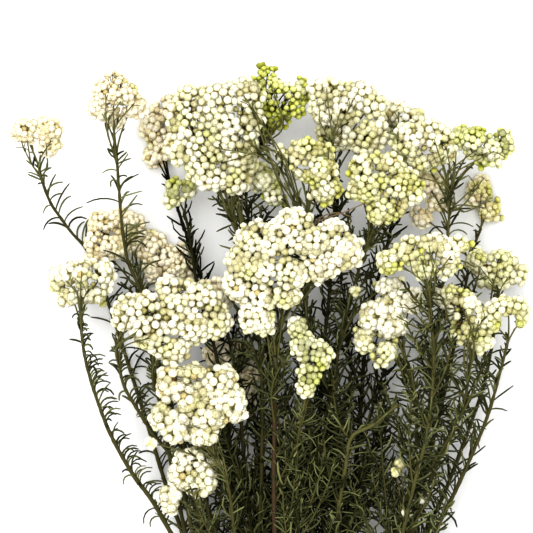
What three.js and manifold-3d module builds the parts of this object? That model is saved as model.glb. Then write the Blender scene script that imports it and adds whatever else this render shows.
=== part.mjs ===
// Preserved rice flower: one cut stem that forks near its woody foot into leafy stems, each ending in
// flat-topped heads of small round buds. It lies on a surface, cut end towards -Y, heads towards +Y, +Z up.
// Lengths are in millimetres. Places are read off the photograph in pixels and turned into millimetres.
import * as THREE from 'three';
import { mergeVertices } from 'three/addons/utils/BufferGeometryUtils.js';
import Module from 'manifold-3d';

const wasm = await Module();
wasm.setup();

// Driving dimensions
const MM_PER_PIXEL = 0.55;
const PHOTO_CENTRE_X = 266.5;
const PHOTO_FOOT_Y = 533;
const CUT_END_RADIUS = 3.8;
const FORK_RADIUS = 2.4;
const FORK_TIP_RADIUS = 1.7;
const LEAFY_STEM_RADIUS = 1.25;
const LEAFY_TIP_RADIUS = 1;
const STALK_RADIUS = 0.66;
const STALK_END_RADIUS = 0.4;
const STALK_STEP = 4.5;
const STALK_GAP = 0.9;
const LEAF_LENGTH = 12;
const LEAF_RADIUS = 0.66;
const LEAF_OUTWARD = 0.7;
const LEAF_FORWARD = 0.72;
const LEAF_NODE_STEP = 19;
const BARE_FOOT = 22;
const BUD_PITCH = 7.5;
const BUD_RISE = 1.4;
const BUD_VALLEY = 1.6;
const BUD_STRAY = 1;
const SIDE_BUD = 2;
const HEAD_THICKNESS = 3.5;
const EDGE_THICKNESS = 1;
const UNDERSIDE_DEPTH = 5;
const GAP = 0.35;

// Shape choices that follow from them
const STEM_SIDES = 4;
const FORK_SIDES = 5;
const FORK_STEPS = 5;
const WOOD_SIDES = 8;
const CELL_RADIUS = BUD_PITCH / Math.sqrt(3);
const CELL_NEIGHBOURS = [[0, 1], [-1, 1], [-1, 0], [0, -1], [1, -1], [1, 0]];
const FILLED_FROM = 5;
const LARGEST_HEAD = 90;
const LOBE_EDGE = 0.88;
const HEAD_MARGIN = new THREE.Vector3(CELL_RADIUS + SIDE_BUD, CELL_RADIUS + SIDE_BUD, SIDE_BUD);
const MOST_STALKS = 5;
const LEAST_SLOPE = 0.6;
const LEAF_CLEARANCE = 0.45;
const UP = new THREE.Vector3(0, 0, 1);

// Colours
const BLOSSOM = 0xf1e9cf;
const BLOSSOM_GREEN = 0xcdd27a;
const BLOSSOM_DULL = 0xdccfae;
const FOLIAGE = 0x4b532a;
const WOOD = 0x6b5138;

// A place in the photograph, in pixels, at a height above the surface in millimetres.
const at = (px, py, z) => new THREE.Vector3(
  (px - PHOTO_CENTRE_X) * MM_PER_PIXEL,
  (PHOTO_FOOT_Y - py) * MM_PER_PIXEL,
  z,
);

// One rounded lobe of a flower head: its middle, and its half sizes across, along and up.
const lobe = (px, py, z, across, along, up) => ({
  middle: at(px, py, z),
  half: new THREE.Vector3(across, along, up),
});

// The woody foot and the forks that grow from it.
const FOOT_HEIGHT = CUT_END_RADIUS * Math.cos(Math.PI / WOOD_SIDES);
const WOODY_FOOT = [
  at(303, 930, FOOT_HEIGHT), at(303, 909, FOOT_HEIGHT), at(303, 889, FOOT_HEIGHT),
  at(302, 868, 3.7), at(302, 848, 4.4), at(302, 828, 6),
];
const FORKS = [
  [at(302, 865, 4), at(284, 780, 12), at(240, 690, 24), at(205, 612, 32), at(186, 562, 36)],
  [at(302, 848, 4.5), at(284, 760, 8), at(244, 660, 10), at(214, 590, 12)],
  [at(301, 838, 5), at(286, 740, 22), at(262, 640, 32), at(252, 582, 36)],
  [at(302, 838, 6), at(296, 750, 34), at(286, 650, 54), at(280, 592, 62)],
  [at(303, 838, 5), at(315, 740, 22), at(330, 640, 34), at(338, 582, 38)],
  [at(303, 865, 4), at(326, 780, 14), at(366, 690, 26), at(398, 612, 34), at(412, 562, 38)],
  [at(303, 848, 4.5), at(322, 760, 8), at(360, 660, 10), at(390, 590, 12)],
];

// The flower heads, by number.
const HEADS = {
  1: {
    lobes: [lobe(24, 131, 40, 8, 8, 8), lobe(48, 129, 42, 8, 8, 8), lobe(51, 146, 40, 6, 6, 6)],
    dull: true,
  },
  2: {
    lobes: [
      lobe(113, 92, 54, 12, 10, 10), lobe(99, 107, 52, 7, 8, 8), lobe(132, 105, 50, 9, 8, 8),
      lobe(113, 115, 48, 8, 8, 8),
    ],
    dull: true,
  },
  3: {
    lobes: [
      lobe(167, 112, 7, 9, 8, 9), lobe(153, 124, 7, 8, 8, 10), lobe(162, 140, 6, 9, 9, 10),
      lobe(155, 157, 6, 8, 6, 9),
    ],
    dull: true,
    floor: 0,
  },
  4: {
    lobes: [
      lobe(190, 100, 54, 8, 7, 8), lobe(220, 100, 58, 13, 9, 9), lobe(245, 94, 56, 9, 8, 8),
      lobe(190, 125, 58, 12, 11, 10), lobe(215, 122, 60, 12, 10, 10), lobe(243, 118, 58, 10, 11, 10),
      lobe(184, 150, 60, 9, 9, 9), lobe(208, 150, 62, 13, 10, 10), lobe(236, 152, 60, 12, 10, 10),
      lobe(208, 174, 60, 10, 8, 9), lobe(233, 176, 58, 9, 8, 9), lobe(248, 162, 57, 6, 8, 7),
    ],
  },
  5: {
    lobes: [
      lobe(263, 73, 46, 6, 6, 6), lobe(273, 88, 46, 7, 7, 7), lobe(281, 105, 46, 12, 11, 9),
      lobe(299, 93, 44, 6, 8, 7), lobe(270, 120, 44, 7, 7, 7),
    ],
    green: true,
  },
  6: {
    lobes: [
      lobe(326, 93, 50, 9, 7, 8), lobe(352, 95, 50, 11, 7, 8), lobe(324, 112, 48, 7, 8, 8),
      lobe(344, 112, 50, 12, 9, 9), lobe(370, 106, 48, 8, 8, 8), lobe(338, 132, 45, 12, 9, 9),
      lobe(366, 134, 50, 10, 10, 9),
    ],
  },
  7: { lobes: [lobe(393, 113, 31, 9, 8, 8), lobe(413, 119, 30, 8, 7, 8), lobe(398, 128, 30, 8, 6, 7)] },
  8: {
    lobes: [
      lobe(411, 141, 58, 9, 10, 9), lobe(428, 134, 58, 9, 7, 8), lobe(439, 148, 58, 10, 10, 9),
      lobe(421, 159, 56, 9, 7, 8),
    ],
  },
  9: {
    lobes: [lobe(475, 140, 54, 8, 7, 8), lobe(484, 152, 54, 9, 8, 8), lobe(500, 143, 52, 7, 7, 7)],
    green: true,
  },
  10: {
    lobes: [
      lobe(294, 156, 72, 9, 8, 8), lobe(314, 152, 74, 9, 7, 8), lobe(323, 167, 74, 7, 9, 8),
      lobe(314, 172, 72, 9, 7, 8), lobe(326, 190, 70, 8, 8, 8),
    ],
  },
  11: {
    lobes: [
      lobe(362, 169, 72, 8, 8, 8), lobe(384, 167, 70, 9, 8, 8), lobe(359, 187, 70, 6, 7, 7),
      lobe(372, 186, 72, 11, 9, 9), lobe(395, 182, 70, 9, 8, 8), lobe(411, 190, 68, 8, 8, 8),
      lobe(396, 203, 68, 9, 8, 8), lobe(380, 213, 66, 8, 7, 8),
    ],
  },
  12: { lobes: [lobe(265, 180, 41, 8, 8, 8), lobe(275, 195, 40, 7, 7, 7)], green: true },
  13: { lobes: [lobe(173, 192, 27, 6, 8, 7), lobe(188, 186, 28, 6, 6, 7)], green: true },
  14: {
    lobes: [
      lobe(103, 226, 16, 9, 8, 8), lobe(124, 223, 17, 10, 8, 9), lobe(100, 247, 16, 8, 9, 8),
      lobe(115, 243, 17, 9, 9, 9),
    ],
    dull: true,
    floor: 8,
  },
  15: {
    lobes: [lobe(152, 248, 9, 11, 10, 10), lobe(173, 262, 8, 11, 10, 10), lobe(155, 269, 8, 8, 8, 9)],
    dull: true,
    floor: 0,
  },
  16: {
    lobes: [
      lobe(60, 280, 42, 7, 8, 8), lobe(80, 275, 44, 10, 8, 9), lobe(102, 274, 42, 7, 8, 8),
      lobe(70, 296, 42, 7, 7, 8), lobe(91, 293, 43, 9, 8, 8),
    ],
  },
  17: {
    lobes: [
      lobe(126, 312, 74, 7, 8, 8), lobe(145, 308, 76, 9, 8, 9), lobe(174, 290, 72, 10, 7, 8),
      lobe(200, 298, 73, 10, 9, 9), lobe(152, 333, 77, 10, 10, 10), lobe(173, 316, 76, 11, 11, 10),
      lobe(172, 346, 75, 9, 9, 9), lobe(192, 325, 75, 10, 9, 9), lobe(217, 318, 72, 8, 10, 8),
    ],
  },
  18: { lobes: [lobe(206, 291, 40, 7, 6, 7), lobe(223, 293, 40, 8, 8, 8)], dull: true },
  19: {
    lobes: [
      lobe(297, 224, 90, 11, 8, 9), lobe(258, 240, 88, 11, 8, 9), lobe(284, 243, 93, 12, 11, 10),
      lobe(312, 243, 95, 12, 10, 10), lobe(342, 252, 91, 11, 10, 9), lobe(332, 234, 90, 8, 8, 8),
      lobe(241, 262, 89, 8, 9, 9), lobe(263, 266, 92, 11, 10, 10), lobe(291, 270, 93, 12, 9, 9),
      lobe(318, 269, 90, 9, 7, 8), lobe(240, 286, 88, 8, 9, 8), lobe(264, 292, 90, 10, 10, 9),
      lobe(286, 295, 88, 8, 8, 8), lobe(258, 318, 86, 10, 10, 8),
    ],
  },
  20: {
    lobes: [
      lobe(298, 327, 85, 5, 5, 6), lobe(303, 345, 86, 6, 7, 7), lobe(319, 357, 86, 6, 8, 7),
      lobe(309, 374, 85, 5, 7, 7), lobe(307, 388, 83, 5, 4, 5),
    ],
    green: true,
  },
  21: {
    lobes: [
      lobe(215, 356, 26, 7, 7, 7), lobe(236, 356, 26, 9, 8, 8), lobe(250, 378, 24, 6, 8, 6),
      lobe(251, 404, 24, 5, 9, 6),
    ],
    dull: true,
  },
  22: {
    lobes: [
      lobe(196, 372, 80, 11, 6, 8), lobe(172, 384, 80, 9, 9, 9), lobe(222, 382, 80, 9, 9, 9),
      lobe(236, 404, 78, 6, 10, 8), lobe(214, 412, 80, 10, 9, 9), lobe(190, 404, 80, 11, 9, 9),
      lobe(165, 414, 78, 7, 9, 8), lobe(177, 430, 76, 8, 7, 8), lobe(201, 433, 77, 9, 7, 8),
    ],
  },
  23: {
    lobes: [
      lobe(195, 457, 62, 9, 6, 8), lobe(217, 466, 60, 5, 6, 6), lobe(183, 474, 62, 8, 8, 8),
      lobe(203, 482, 62, 9, 8, 8), lobe(171, 498, 58, 6, 8, 7),
    ],
  },
  24: {
    lobes: [
      lobe(391, 262, 86, 8, 8, 8), lobe(411, 251, 88, 10, 7, 8), lobe(433, 246, 88, 10, 7, 8),
      lobe(456, 246, 86, 8, 5, 7), lobe(424, 265, 86, 10, 7, 8), lobe(446, 263, 85, 8, 6, 7),
    ],
  },
  25: {
    lobes: [
      lobe(479, 262, 32, 8, 7, 8), lobe(500, 262, 30, 9, 7, 8), lobe(515, 273, 29, 6, 7, 7),
      lobe(494, 281, 29, 9, 6, 7),
    ],
  },
  26: {
    lobes: [
      lobe(409, 301, 62, 9, 7, 8), lobe(389, 306, 64, 9, 8, 8), lobe(371, 319, 62, 8, 8, 8),
      lobe(394, 325, 64, 9, 8, 8), lobe(365, 338, 60, 7, 7, 7), lobe(384, 350, 60, 8, 8, 7),
    ],
  },
  27: {
    lobes: [
      lobe(449, 296, 70, 7, 7, 8), lobe(464, 304, 71, 8, 8, 8), lobe(508, 309, 72, 10, 6, 8),
      lobe(486, 318, 73, 9, 9, 8), lobe(520, 320, 70, 4, 6, 6), lobe(466, 326, 71, 8, 9, 8),
      lobe(480, 340, 70, 7, 7, 7),
    ],
  },
  28: { lobes: [lobe(481, 190, 7, 8, 8, 9), lobe(490, 208, 6, 7, 8, 8)], dull: true, floor: 0 },
  29: {
    lobes: [lobe(428, 183, 44, 8, 6, 7), lobe(437, 203, 40, 6, 6, 6), lobe(422, 217, 36, 6, 5, 6)],
    dull: true,
  },
  30: { lobes: [lobe(400, 462, 58, 5, 4, 5), lobe(396, 473, 57, 4, 4, 5)] },
};

// The leafy stems, from the fork that carries them to the tip where the stalks of their heads start.
const LEAFY_STEMS = {
  1: {
    path: [
      at(244, 660, 9), at(226, 635, 7.5), at(200, 580, 6), at(170, 500, 5), at(142, 410, 4),
      at(113, 320, 4), at(96, 272, 4), at(84, 247, 5), at(72, 234, 8), at(60, 218, 12), at(50, 203, 18),
      at(42, 182, 26), at(38, 165, 32),
    ],
    heads: [1],
  },
  2: {
    path: [
      at(222, 650, 28), at(192, 560, 27), at(172, 470, 28), at(152, 360, 29), at(140, 290, 31),
      at(129, 265, 33), at(123, 236, 36), at(119, 190, 42), at(116, 146, 47),
    ],
    heads: [2],
  },
  3: {
    path: [
      at(256, 606, 34), at(240, 530, 26), at(225, 430, 17), at(213, 340, 15), at(203, 285, 15),
      at(190, 245, 15), at(178, 210, 14), at(170, 182, 12),
    ],
    heads: [3],
  },
  4: {
    path: [
      at(252, 584, 36), at(260, 512, 46), at(262, 445, 50), at(262, 380, 52), at(256, 310, 52),
      at(246, 262, 52), at(237, 230, 54), at(230, 208, 55),
    ],
    heads: [4],
  },
  5: {
    path: [
      at(277, 702, 25.5), at(284, 640, 30), at(283, 590, 33), at(281, 500, 35), at(272, 400, 36),
      at(263, 300, 36), at(253, 240, 34), at(246, 200, 34), at(252, 165, 36), at(266, 138, 41),
    ],
    heads: [5, 12],
    sideHeads: { 12: 0.86 },
  },
  6: {
    path: [
      at(330, 640, 34), at(324, 540, 36), at(320, 440, 37), at(323, 360, 37), at(330, 290, 37),
      at(334, 240, 38), at(334, 190, 40), at(332, 158, 42),
    ],
    heads: [6],
  },
  7: {
    path: [
      at(336, 600, 37), at(352, 500, 30), at(361, 410, 27), at(366, 345, 26), at(377, 285, 26),
      at(389, 240, 26), at(395, 200, 27), at(396, 165, 27), at(397, 148, 28),
    ],
    heads: [7],
  },
  8: {
    path: [
      at(412, 563, 38), at(421, 480, 42), at(430, 400, 44), at(438, 320, 46), at(446, 260, 48),
      at(449, 220, 50), at(450, 192, 52),
    ],
    heads: [8, 9, 29],
    sideHeads: { 29: 0.88 },
  },
  9: {
    path: [
      at(322, 690, 29), at(314, 600, 42), at(312, 520, 51), at(310, 440, 56), at(307, 360, 60),
      at(306, 290, 62), at(305, 240, 63), at(307, 212, 65),
    ],
    heads: [10],
  },
  10: {
    path: [
      at(338, 584, 38), at(340, 500, 46), at(336, 414, 50), at(338, 350, 53), at(350, 300, 56),
      at(362, 260, 57), at(370, 234, 59),
    ],
    heads: [11],
  },
  11: {
    path: [
      at(259, 632, 32), at(244, 585, 35), at(237, 510, 39), at(227, 420, 40), at(215, 350, 39),
      at(203, 310, 32), at(197, 285, 29), at(192, 255, 28), at(188, 228, 28), at(184, 212, 28),
    ],
    heads: [13],
  },
  12: {
    path: [at(214, 592, 12), at(190, 490, 11), at(166, 390, 10), at(148, 320, 9), at(142, 292, 9)],
    heads: [14, 15],
  },
  13: {
    path: [
      at(186, 563, 36), at(170, 532, 36), at(152, 501, 37), at(133, 475, 38), at(112, 438, 39),
      at(99, 406, 40), at(86, 363, 40), at(81, 330, 41), at(80, 312, 42),
    ],
    heads: [16],
  },
  14: {
    path: [
      at(212, 628, 30), at(192, 530, 41), at(175, 463, 48), at(152, 432, 54), at(138, 410, 58),
      at(124, 385, 62), at(119, 362, 65), at(116, 338, 69),
    ],
    heads: [17],
    lobes: [0, 1, 4],
  },
  15: {
    path: [
      at(240, 690, 24), at(222, 590, 44), at(200, 480, 47), at(168, 416, 58), at(156, 392, 60),
      at(152, 365, 65),
    ],
    heads: [17],
    lobes: [5, 6, 7],
  },
  16: {
    path: [
      at(264, 650, 31), at(254, 560, 43), at(245, 470, 43), at(238, 390, 41), at(228, 335, 40),
      at(222, 312, 40),
    ],
    heads: [18],
  },
  17: {
    path: [
      at(280, 594, 62), at(275, 533, 66), at(274, 460, 70), at(275, 400, 72), at(277, 350, 73),
      at(280, 326, 74),
    ],
    heads: [19],
  },
  18: {
    path: [at(288, 660, 52), at(297, 580, 64), at(297, 500, 69), at(297, 445, 73), at(304, 404, 77)],
    heads: [20],
  },
  19: {
    path: [at(266, 655, 30), at(268, 600, 25), at(262, 500, 24), at(258, 455, 22), at(256, 430, 21)],
    heads: [21],
  },
  20: {
    path: [
      at(252, 712, 21), at(242, 610, 54), at(234, 530, 66), at(228, 485, 71), at(217, 459, 72),
      at(207, 449, 73),
    ],
    heads: [22],
  },
  21: {
    path: [at(200, 602, 33), at(207, 566, 48), at(202, 528, 54), at(196, 502, 57)],
    heads: [23],
  },
  22: {
    path: [
      at(376, 668, 28), at(392, 580, 50), at(410, 500, 62), at(427, 430, 69), at(433, 371, 73),
      at(431, 320, 77), at(426, 288, 80),
    ],
    heads: [24],
  },
  23: {
    path: [
      at(391, 594, 12), at(438, 510, 15), at(466, 440, 18), at(486, 380, 20), at(495, 330, 23),
      at(497, 300, 25),
    ],
    heads: [25],
  },
  24: {
    path: [at(402, 602, 34.5), at(396, 540, 48), at(413, 470, 55), at(416, 405, 56), at(406, 366, 57)],
    heads: [26, 30],
    sideHeads: { 30: 0.4 },
  },
  25: {
    path: [
      at(408, 580, 37), at(436, 530, 34), at(454, 495, 38), at(475, 448, 44), at(488, 415, 50),
      at(500, 372, 58), at(508, 340, 62),
    ],
    heads: [27],
    lobes: [2, 3],
  },
  26: {
    path: [
      at(394, 622, 33), at(404, 560, 48), at(433, 473, 56), at(456, 426, 60), at(465, 398, 62),
      at(470, 362, 65),
    ],
    heads: [27],
    lobes: [0, 1, 5],
  },
  27: {
    path: [
      at(374, 630, 11), at(412, 520, 12), at(444, 400, 12), at(462, 310, 12), at(474, 250, 11),
      at(482, 228, 10),
    ],
    heads: [28],
  },
  28: {
    path: [
      at(326, 662, 32), at(334, 570, 56), at(339, 506, 61), at(345, 469, 63), at(352, 436, 65),
      at(372, 425, 66), at(398, 404, 68),
    ],
    heads: [],
  },
};

// A seeded draw of numbers from 0 to 1, the same on every run.
function seededDraw(seed) {
  let state = seed;
  return () => {
    state = (state + 0x6d2b79f5) | 0;
    let mixed = Math.imul(state ^ (state >>> 15), 1 | state);
    mixed = (mixed + Math.imul(mixed ^ (mixed >>> 7), 61 | mixed)) ^ mixed;
    return ((mixed ^ (mixed >>> 14)) >>> 0) / 4294967296;
  };
}

// Solids

function geometryFrom(positions, indices) {
  const geometry = new THREE.BufferGeometry();
  geometry.setAttribute('position', new THREE.Float32BufferAttribute(positions, 3));
  geometry.setIndex(indices);
  return geometry;
}

function toSolid(geometry) {
  const merged = mergeVertices(geometry);
  return new wasm.Manifold(new wasm.Mesh({
    numProp: 3,
    vertProperties: Float32Array.from(merged.attributes.position.array),
    triVerts: Uint32Array.from(merged.index.array),
  }));
}

function fromSolid(solid) {
  const mesh = solid.getMesh();
  return geometryFrom(Array.from(mesh.vertProperties), Array.from(mesh.triVerts));
}

function joined(geometries) {
  return geometries.map(toSolid).reduce((whole, piece) => whole.add(piece));
}

// What a cut leaves loose is dropped.
function largestBody(solid) {
  return solid.decompose().reduce((largest, body) => (body.volume() > largest.volume() ? body : largest));
}

// Directions across a stem at one place on it: to its side and to its top.
function crossAxes(tangent) {
  const top = UP.clone().addScaledVector(tangent, -UP.dot(tangent)).normalize();
  const side = top.clone().cross(tangent);
  return { side, top };
}

function ring(centre, tangent, radius, sides, turn = 0) {
  const { side, top } = crossAxes(tangent);
  return Array.from({ length: sides }, (_, k) => {
    const angle = ((k + 0.5) / sides) * 2 * Math.PI + Math.PI / 2 + turn;
    return centre.clone()
      .addScaledVector(side, radius * Math.cos(angle))
      .addScaledVector(top, radius * Math.sin(angle));
  });
}

// A closed skin over rings of equal size with a flat cap at each end. A peak draws the patch between two
// rings out to a point; peaks are listed by ring and side.
function skin(rings, peaks = []) {
  const sides = rings[0].length;
  const points = rings.flat();
  const indices = [];
  for (let i = 0; i + 1 < rings.length; i += 1) {
    for (let k = 0; k < sides; k += 1) {
      const a = i * sides + k;
      const b = i * sides + ((k + 1) % sides);
      const peak = peaks[i]?.[k];
      if (peak) {
        const p = points.push(peak) - 1;
        indices.push(a, b, p, b, b + sides, p, b + sides, a + sides, p, a + sides, a, p);
      } else {
        indices.push(a, b, b + sides, a, b + sides, a + sides);
      }
    }
  }
  const last = (rings.length - 1) * sides;
  for (let k = 1; k + 1 < sides; k += 1) indices.push(0, k + 1, k, last, last + k, last + k + 1);
  return geometryFrom(points.flatMap((p) => p.toArray()), indices);
}

// A stem along a path, tapered from its foot to its tip.
function taperedStem(path, footRadius, tipRadius, sides, steps) {
  const curve = new THREE.CatmullRomCurve3(path, false, 'centripetal');
  const rings = Array.from({ length: steps + 1 }, (_, i) => {
    const t = i / steps;
    const radius = THREE.MathUtils.lerp(footRadius, tipRadius, t);
    return ring(curve.getPointAt(t), curve.getTangentAt(t), radius, sides);
  });
  return skin(rings);
}

// Flower heads

function headMiddle(head) {
  const sum = head.lobes.reduce((total, each) => total.add(each.middle), new THREE.Vector3());
  return sum.divideScalar(head.lobes.length);
}

// How far out in a lobe a place lies, seen from above: 0 in its middle and 1 at its edge.
function outwards({ middle, half }, place) {
  return Math.hypot((place.x - middle.x) / half.x, (place.y - middle.y) / half.y);
}

// The heights of a head's upper and lower sides over a place, from the lobes there or else the nearest one.
function sidesOver(head, place) {
  const nearest = Math.min(...head.lobes.map((each) => outwards(each, place)));
  const there = head.lobes.filter((each) => outwards(each, place) <= Math.max(nearest, 1));
  const swell = (each) => each.half.z * Math.sqrt(Math.max(0, 1 - outwards(each, place) ** 2));
  const upper = Math.max(...there.map((each) => each.middle.z + swell(each)));
  const lower = Math.min(...there.map((each) => each.middle.z - swell(each)));
  return { upper, lower: Math.max(head.floor, Math.min(lower, upper - HEAD_THICKNESS)) };
}

// A head is a sheet of six-sided cells, kept where they lie in a lobe. Each cell is a bud that stands up
// from the valleys round it, and each side of a cell on the head's edge is a bud that faces outwards.
function headGeometry(head, draw) {
  const turn = draw() * Math.PI;
  const placeOf = (x, y) => new THREE.Vector3(x, y, 0).applyAxisAngle(UP, turn).add(head.middle);
  const stray = () => BUD_STRAY * (draw() - 0.5);
  const middleOf = (q, r) => [(q + r / 2) * BUD_PITCH, r * 1.5 * CELL_RADIUS];
  const inLobe = ([q, r]) => head.lobes.some((each) => outwards(each, placeOf(...middleOf(q, r))) < LOBE_EDGE);
  const neighbours = ([q, r]) => CELL_NEIGHBOURS.map(([dq, dr]) => [q + dq, r + dr]);
  const isKept = (cell) => inLobe(cell) || neighbours(cell).filter(inLobe).length >= FILLED_FROM;
  const points = [];
  const indices = [];
  const cornerAt = new Map();
  const corner = (x, y) => {
    const key = `${Math.round((2 * x) / BUD_PITCH)} ${Math.round((2 * y) / CELL_RADIUS)}`;
    if (!cornerAt.has(key)) {
      const place = placeOf(x + stray(), y + stray());
      const { upper, lower } = sidesOver(head, place);
      cornerAt.set(key, points.push(place.clone().setZ(upper - BUD_VALLEY)) - 1);
      points.push(place.clone().setZ(Math.min(lower, upper - BUD_VALLEY - EDGE_THICKNESS)));
    }
    return cornerAt.get(key);
  };
  const addCell = (cell) => {
    const [x, y] = middleOf(...cell);
    const corners = CELL_NEIGHBOURS.map((_, k) => {
      const angle = ((k + 0.5) * Math.PI) / 3;
      return corner(x + CELL_RADIUS * Math.cos(angle), y + CELL_RADIUS * Math.sin(angle));
    });
    const place = placeOf(x + stray(), y + stray());
    const bud = points.push(place.clone().setZ(sidesOver(head, place).upper + BUD_RISE)) - 1;
    neighbours(cell).forEach((next, k) => {
      const a = corners[k];
      const b = corners[(k + 1) % corners.length];
      indices.push(bud, a, b);
      if (k > 0 && k < corners.length - 1) indices.push(corners[0] + 1, b + 1, a + 1);
      if (isKept(next)) return;
      const edge = points[a].clone().add(points[a + 1]).add(points[b]).add(points[b + 1]).divideScalar(4);
      const outward = placeOf(...middleOf(...next)).sub(placeOf(x, y)).setLength(SIDE_BUD);
      const peak = points.push(edge.add(outward)) - 1;
      indices.push(a + 1, b + 1, peak, b + 1, b, peak, b, a, peak, a, a + 1, peak);
    });
  };
  const most = Math.ceil(LARGEST_HEAD / BUD_PITCH);
  for (let q = -most; q <= most; q += 1) {
    for (let r = -most; r <= most; r += 1) {
      if (isKept([q, r])) addCell([q, r]);
    }
  }
  return fromSolid(largestBody(toSolid(geometryFrom(points.flatMap((p) => p.toArray()), indices))));
}

function prepareHead(head, number) {
  const draw = seededDraw(100 + number);
  head.middle = headMiddle(head);
  head.floor = head.floor ?? Math.min(...head.lobes.map((each) => each.middle.z)) - UNDERSIDE_DEPTH;
  head.mesh = new THREE.Mesh(headGeometry(head, draw));
}

// Clear room: what a leaf must miss is kept as short round rods, each with its owner.

const rods = [];

function addRods(owner, points, radius) {
  for (let i = 0; i + 1 < points.length; i += 1) {
    rods.push({ owner, from: points[i], to: points[i + 1], radius });
  }
}

// The least distance between two straight stretches.
function stretchDistance(p0, p1, q0, q1) {
  const d1 = p1.clone().sub(p0);
  const d2 = q1.clone().sub(q0);
  const r = p0.clone().sub(q0);
  const a = d1.dot(d1);
  const e = d2.dot(d2);
  const f = d2.dot(r);
  const c = d1.dot(r);
  const b = d1.dot(d2);
  const spread = a * e - b * b;
  let s = spread > 1e-9 ? THREE.MathUtils.clamp((b * f - c * e) / spread, 0, 1) : 0;
  let t = (b * s + f) / e;
  if (t < 0 || t > 1) {
    t = THREE.MathUtils.clamp(t, 0, 1);
    s = THREE.MathUtils.clamp((b * t - c) / a, 0, 1);
  }
  return p0.clone().addScaledVector(d1, s).distanceTo(q0.clone().addScaledVector(d2, t));
}

function insideHead(point) {
  return Object.values(HEADS).some(({ lobes }) => lobes.some(({ middle, half }) => {
    const out = point.clone().sub(middle).divide(half.clone().add(HEAD_MARGIN));
    return out.length() < 1;
  }));
}

function leafIsClear(owner, foot, tip) {
  if (tip.z < LEAF_RADIUS || insideHead(tip) || insideHead(foot.clone().lerp(tip, 0.6))) return false;
  return rods.every((rod) => rod.owner === owner
    || stretchDistance(foot, tip, rod.from, rod.to) > rod.radius + LEAF_RADIUS + LEAF_CLEARANCE);
}

// Leafy stems

// The stalks of one head leave the stem one above the other, up to a place on it, and fan out to the lobes.
function stalksOf(stem, number, upTo) {
  const { lobes } = HEADS[number];
  const carried = stem.lobes ? stem.lobes.map((i) => lobes[i]) : lobes;
  const count = Math.min(carried.length, MOST_STALKS);
  const length = stem.curve.getLength();
  return Array.from({ length: count }, (_, i) => {
    const along = upTo * length - 1 - i * STALK_STEP;
    const foot = stem.curve.getPointAt(along / length);
    const { middle } = carried[Math.floor((i * carried.length) / count)];
    return [foot, justShortOf(HEADS[number].mesh, foot, middle)];
  });
}

// The point where a straight line from a foot towards an aim nearly meets a solid.
function justShortOf(mesh, foot, aim) {
  const direction = aim.clone().sub(foot).normalize();
  const [hit] = new THREE.Raycaster(foot, direction).intersectObject(mesh);
  const slope = Math.max(Math.abs(hit.face.normal.dot(direction)), LEAST_SLOPE);
  const reach = hit.distance - STALK_GAP / slope;
  return foot.clone().addScaledVector(direction, reach);
}

function stalkGeometry([foot, end]) {
  const along = end.clone().sub(foot).normalize();
  return skin([ring(foot, along, STALK_RADIUS, 3), ring(end, along, STALK_END_RADIUS, 3)]);
}

// A leafy stem is a square rod. At each leaf node it turns by half a side, and its leaves are needles drawn
// out of the sides there, leaning forward, all but one side each time.
function leafyRod(name, stem, draw) {
  const length = stem.curve.getLength();
  const rings = [];
  const peaks = [];
  const addRing = (along, turn) => {
    const t = THREE.MathUtils.clamp(along / length, 0, 1);
    const radius = THREE.MathUtils.lerp(LEAFY_STEM_RADIUS, LEAFY_TIP_RADIUS, t);
    rings.push(ring(stem.curve.getPointAt(t), stem.curve.getTangentAt(t), radius, STEM_SIDES, turn));
  };
  addRing(0, 0);
  let node = 0;
  for (let along = BARE_FOOT; along < length - 2; along += LEAF_NODE_STEP) {
    const foot = stem.curve.getPointAt(along / length);
    const tangent = stem.curve.getTangentAt(along / length);
    const { side, top } = crossAxes(tangent);
    const turn = (node % 2) * (Math.PI / STEM_SIDES);
    const bareSide = Math.floor(draw() * STEM_SIDES);
    peaks[rings.length] = Array.from({ length: STEM_SIDES }, (_, k) => {
      const leafLength = LEAF_LENGTH * (0.85 + 0.3 * draw());
      if (k === bareSide) return null;
      const angle = ((k + 1) / STEM_SIDES) * 2 * Math.PI + Math.PI / 2 + turn;
      const tip = foot.clone()
        .addScaledVector(side, LEAF_OUTWARD * leafLength * Math.cos(angle))
        .addScaledVector(top, LEAF_OUTWARD * leafLength * Math.sin(angle))
        .addScaledVector(tangent, LEAF_FORWARD * leafLength);
      if (!leafIsClear(name, foot, tip)) return null;
      addRods(name, [foot, tip], LEAF_RADIUS);
      return tip;
    });
    addRing(along - LEAF_RADIUS, turn);
    addRing(along + LEAF_RADIUS, turn);
    node += 1;
  }
  addRing(length, 0);
  return skin(rings, peaks);
}

function prepareStem(stem, name) {
  stem.curve = new THREE.CatmullRomCurve3(stem.path, false, 'centripetal');
  stem.stalks = stem.heads.flatMap((number) => stalksOf(stem, number, stem.sideHeads?.[number] ?? 1));
  const steps = Math.ceil(stem.curve.getLength() / LEAF_NODE_STEP);
  addRods(name, stem.curve.getSpacedPoints(steps), LEAFY_STEM_RADIUS);
  stem.stalks.forEach((points) => addRods(`${name} stalks`, points, STALK_RADIUS));
}

const stemName = (number) => `leafy_stem_${String(number).padStart(2, '0')}`;
const headName = (number) => `flower_head_${String(number).padStart(2, '0')}`;

function woodySolid(extra) {
  const footRadius = CUT_END_RADIUS + extra;
  const foot = taperedStem(WOODY_FOOT, footRadius, footRadius, WOOD_SIDES, WOODY_FOOT.length - 1);
  const forks = FORKS.map((path) => {
    return taperedStem(path, FORK_RADIUS + extra, FORK_TIP_RADIUS + extra, FORK_SIDES, FORK_STEPS);
  });
  return joined([foot, ...forks]);
}

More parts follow.
